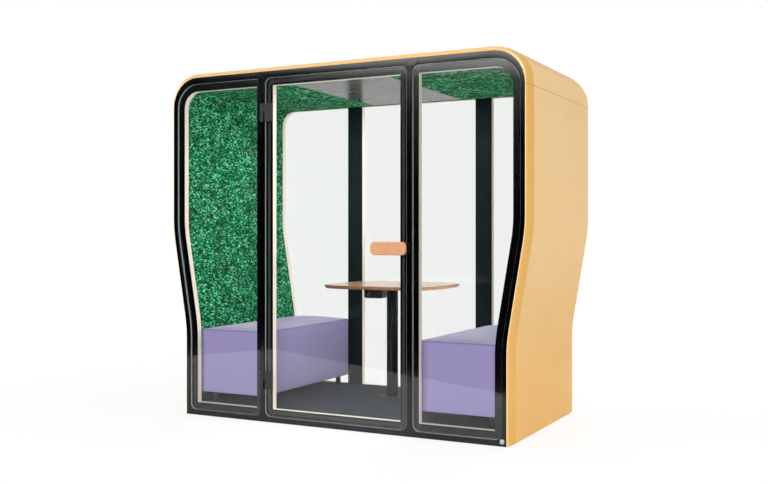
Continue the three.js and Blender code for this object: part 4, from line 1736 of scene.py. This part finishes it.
    def stitch_along(self, path: Sequence[Vector]) -> None:
        """Sews one row of stitches along a closed path.

        Args:
            path: The points that the row follows.
        """
        name = f"{self.side}_bench_stitches"
        tree = GeometryTree(
            name,
            {"Radius": self.stitch, "Length": self.stitch_length, "Pitch": self.stitch_pitch},
        )
        sizes = tree.given
        line = tree.node("GeometryNodeMeshToCurve", None, {0: sizes["Geometry"]})
        places = tree.node(
            "GeometryNodeCurveToPoints", {"mode": "LENGTH"},
            {"Curve": line.outputs[0], "Length": sizes["Pitch"]},
        )
        bead = tree.node(
            "GeometryNodeMeshUVSphere", None, {"Segments": 6, "Rings": 4, "Radius": 0.5}
        )
        scale = tree.node(
            "ShaderNodeCombineXYZ", None,
            {"X": sizes["Radius"], "Y": sizes["Radius"], "Z": sizes["Length"]},
        )
        row = tree.node(
            "GeometryNodeInstanceOnPoints", None,
            {
                "Points": places.outputs["Points"], "Instance": bead.outputs[0],
                "Rotation": places.outputs["Rotation"], "Scale": scale.outputs[0],
            },
        )
        tree.end(row.outputs[0], Finish.THREAD)
        made = tree.run(name, path_mesh(name, [path], True))
        new_piece(made.name, made, "pod", "bench_cloth")


@dataclass
class Table:
    """The walnut table on its column, with the power module under its near edge."""

    steel_easing: float = 0.0008
    column_easing: float = 0.0006
    module_easing: float = 0.001
    socket_half: float = 0.019
    socket_rim: tuple[Span, ...] = ((1.0, 0.0), (1.0, 0.8), (0.96, 1.0))
    socket_well: float = 0.0155
    socket_bore: tuple[Span, ...] = ((1.0, 1.0), (0.96, 0.35), (0.3, 0.3))
    socket_height: float = 0.0034
    socket_recess: float = 0.0038
    socket_offset: float = 0.028

    def build(self) -> None:
        """Dresses the table."""
        veneered = (Finish.WALNUT, Finish.WALNUT_EDGE)
        DressedNode("table_top", veneered, NO_EASING, table_slot).build()
        DressedNode("table_bracket", (Finish.STEEL,), self.steel_easing).build()
        DressedNode("table_base", (Finish.RUBBER,), self.steel_easing).build()
        DressedNode("table_column", (Finish.STEEL,), self.column_easing).build()
        DressedNode("power_module", (Finish.PLASTIC,), self.module_easing).build()
        self.fit_sockets()

    def fit_sockets(self) -> None:
        """Fits a plain round-welled insert in each recess of the power module."""
        low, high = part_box("power_module")
        rings = [(self.socket_half * share, level) for share, level in self.socket_rim]
        rings += [(self.socket_well * share, level) for share, level in self.socket_bore]
        for side, x in (("left", -self.socket_offset), ("right", self.socket_offset)):
            name = f"{side}_socket_insert"
            mesh = turned(name, rings, self.socket_height)
            place = Vector((x, low.y + self.socket_recess, (low.z + high.z) / 2))
            mesh.transform(Matrix.Translation(place) @ FACING_FRONT)
            mesh.materials.append(Finish.PLASTIC.made())
            new_piece(name, mesh, "pod", "black_plastic")


@dataclass(frozen=True)
class SoftBox:
    """A soft lamp that lights the pod and isn't seen or mirrored itself."""

    name: str
    place: Triple
    size: Span
    power: float
    target: Triple = (0.0, 0.0, 1.1)

    def hang(self) -> None:
        """Hangs the lamp and turns it to its target."""
        data = bpy.data.lights.new(self.name, "AREA")
        data.shape = "RECTANGLE"
        data.size, data.size_y = self.size
        data.energy = self.power
        lamp = put_in_scene(self.name, data)
        lamp.location = self.place
        towards = Vector(self.target) - Vector(self.place)
        lamp.rotation_euler = towards.to_track_quat("-Z", "Y").to_euler()
        lamp.visible_glossy = False
        lamp.visible_camera = False


@dataclass
class Studio:
    """Pale floor, soft lamps, white surroundings and the camera of the photograph."""

    camera_place: Triple = (2.9305, -5.6250, 1.1557)
    camera_turn: float = math.radians(27.287)
    sensor: float = 36.0
    lens: float = 45.591
    shift: tuple[float, float] = (-0.00065, -0.00846)
    floor_depths: Span = (4.1, 16.0)
    floor_sides: Span = (-4.12, 5.5)
    floor_drop: float = 0.0005
    floor_grey: Colour = (0.9, 0.9, 0.9, 1.0)
    white_span: Span = (1.7, 3.4)
    white_near: float = 0.8
    white_more: float = 0.2
    lamps: tuple[SoftBox, ...] = (
        SoftBox("front_soft_box", (3.0, -7.0, 2.4), (4.0, 3.0), 600.0),
        SoftBox("right_soft_box", (6.0, 0.5, 2.2), (4.0, 3.0), 52.0),
        SoftBox("back_soft_box", (0.0, 6.0, 2.6), (6.0, 3.2), 330.0),
        SoftBox("left_soft_box", (-4.5, -5.5, 2.4), (3.0, 3.0), 185.0),
        SoftBox("top_soft_box", (0.0, 0.4, 5.0), (3.0, 2.0), 50.0),
        SoftBox("inner_fill", (0.0, 0.0, 2.08), (0.6, 0.9), 16.0),
        SoftBox("ceiling_fill", (0.0, 0.0, 0.95), (0.6, 0.6), 7.0),
        SoftBox("bench_fill", (0.5, -0.1, 0.7), (0.9, 0.2), 5.5, (-0.6, 0.0, 0.5)),
    )
    ambient: float = 0.3
    overhead_span: Span = (0.156, 0.19)
    bright_side_span: Span = (-0.62, -0.45)
    bright_side: float = 4.5
    dim_side: float = 0.7
    behind_span: Span = (-0.1, 0.35)
    behind_glow: float = 0.95
    front_glow: float = 0.008

    def build(self) -> None:
        """Sets up everything round the pod."""
        bpy.context.scene.view_settings.view_transform = "Standard"
        self.set_camera()
        self.lay_floor()
        for lamp in self.lamps:
            lamp.hang()
        self.set_world()

    def set_camera(self) -> None:
        """Places the camera."""
        data = bpy.data.cameras.new("photo_camera")
        data.sensor_width = self.sensor
        data.lens = self.lens
        data.shift_x, data.shift_y = self.shift
        camera = put_in_scene("photo_camera", data)
        camera.location = self.camera_place
        camera.rotation_euler = (math.pi / 2, 0.0, self.camera_turn)
        bpy.context.scene.camera = camera

    def lay_floor(self) -> None:
        """Lays a pale sheet on the floor, square to the camera."""
        ahead = Vector((-math.sin(self.camera_turn), math.cos(self.camera_turn), 0.0))
        right = Vector((math.cos(self.camera_turn), math.sin(self.camera_turn), 0.0))
        start = Vector((*self.camera_place[:2], -self.floor_drop))
        (near, far), (left_side, right_side) = self.floor_depths, self.floor_sides
        outline = ((near, left_side), (near, right_side), (far, right_side), (far, left_side))
        corners = [start + ahead * depth + right * side for depth, side in outline]
        mesh = bpy.data.meshes.new("studio_floor")
        mesh.from_pydata(corners, [], [(0, 1, 2, 3)])
        mesh.materials.append(self._floor_paint())
        floor = put_in_scene("studio_floor", mesh)

    def _floor_paint(self) -> bpy.types.Material:
        """Makes the floor's paint: white for the eye, with the pod's shadow near it.

        Returns:
            The finished material.
        """
        shader = Shader("studio_floor")
        seen = Value(shader, shader.node("ShaderNodeLightPath").outputs["Is Camera Ray"])
        matte = shader.node("ShaderNodeBsdfDiffuse", None, {"Color": self.floor_grey})
        white = shader.node("ShaderNodeEmission", None, {"Color": WHITE, "Strength": 1.0})
        x, y, _ = shader.axes()
        away = ((x * x + y * y) ** 0.5).step(*self.white_span)
        share = seen * (away * self.white_more + self.white_near)
        both = shader.node(
            "ShaderNodeMixShader", None, {0: share, 1: matte.outputs[0], 2: white.outputs[0]}
        )
        return shader.output(both.outputs[0])

    def set_world(self) -> None:
        """Surrounds the pod with white for the eye, soft light, and what its gloss mirrors.

        The gloss mirrors dark low in front of the pod, and bright overhead and behind it.
        """
        world = bpy.data.worlds.new("studio")
        world.use_nodes = True
        bpy.context.scene.world = world
        graph = Graph(world.node_tree)
        path = graph.node("ShaderNodeLightPath").outputs
        place = graph.node("ShaderNodeTexCoord").outputs["Generated"]
        split = graph.node("ShaderNodeSeparateXYZ", None, {0: place})
        x, y, z = (Value(graph, socket) for socket in split.outputs)
        sideways = x.step(*self.bright_side_span) * self.bright_side + self.dim_side
        overhead = z.step(*self.overhead_span) * sideways
        behind = y.step(*self.behind_span)
        mirrored = overhead * (1.0 - behind) + behind * self.behind_glow + self.front_glow
        soft, glint, white = (
            graph.node("ShaderNodeBackground", None, {"Color": WHITE, "Strength": strength})
            for strength in (self.ambient, mirrored, 1.0)
        )
        lit = graph.node(
            "ShaderNodeMixShader", None,
            {0: path["Is Glossy Ray"], 1: soft.outputs[0], 2: glint.outputs[0]},
        )
        shown = graph.node(
            "ShaderNodeMixShader", None,
            {0: path["Is Camera Ray"], 1: lit.outputs[0], 2: white.outputs[0]},
        )
        graph.node("ShaderNodeOutputWorld", None, {"Surface": shown.outputs[0]})


def write_sizes() -> None:
    """Brings the view layer up to date."""
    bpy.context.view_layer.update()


def main() -> None:
    """Builds the studio and every sub-assembly of the pod."""
    logging.basicConfig(level=logging.INFO, format="%(name)s: %(message)s")
    Studio().build()
    Shell().build()
    GlazedEnds().build()
    Door().build()
    Table().build()
    right = Bench("right")
    block, marks = right.block()
    cushion = right.swell(block, marks)
    right.crease(cushion)
    for bench in (right, Bench("left")):
        bench.build(cushion, marks)
    write_sizes()


if __name__ == "__main__":
    main()
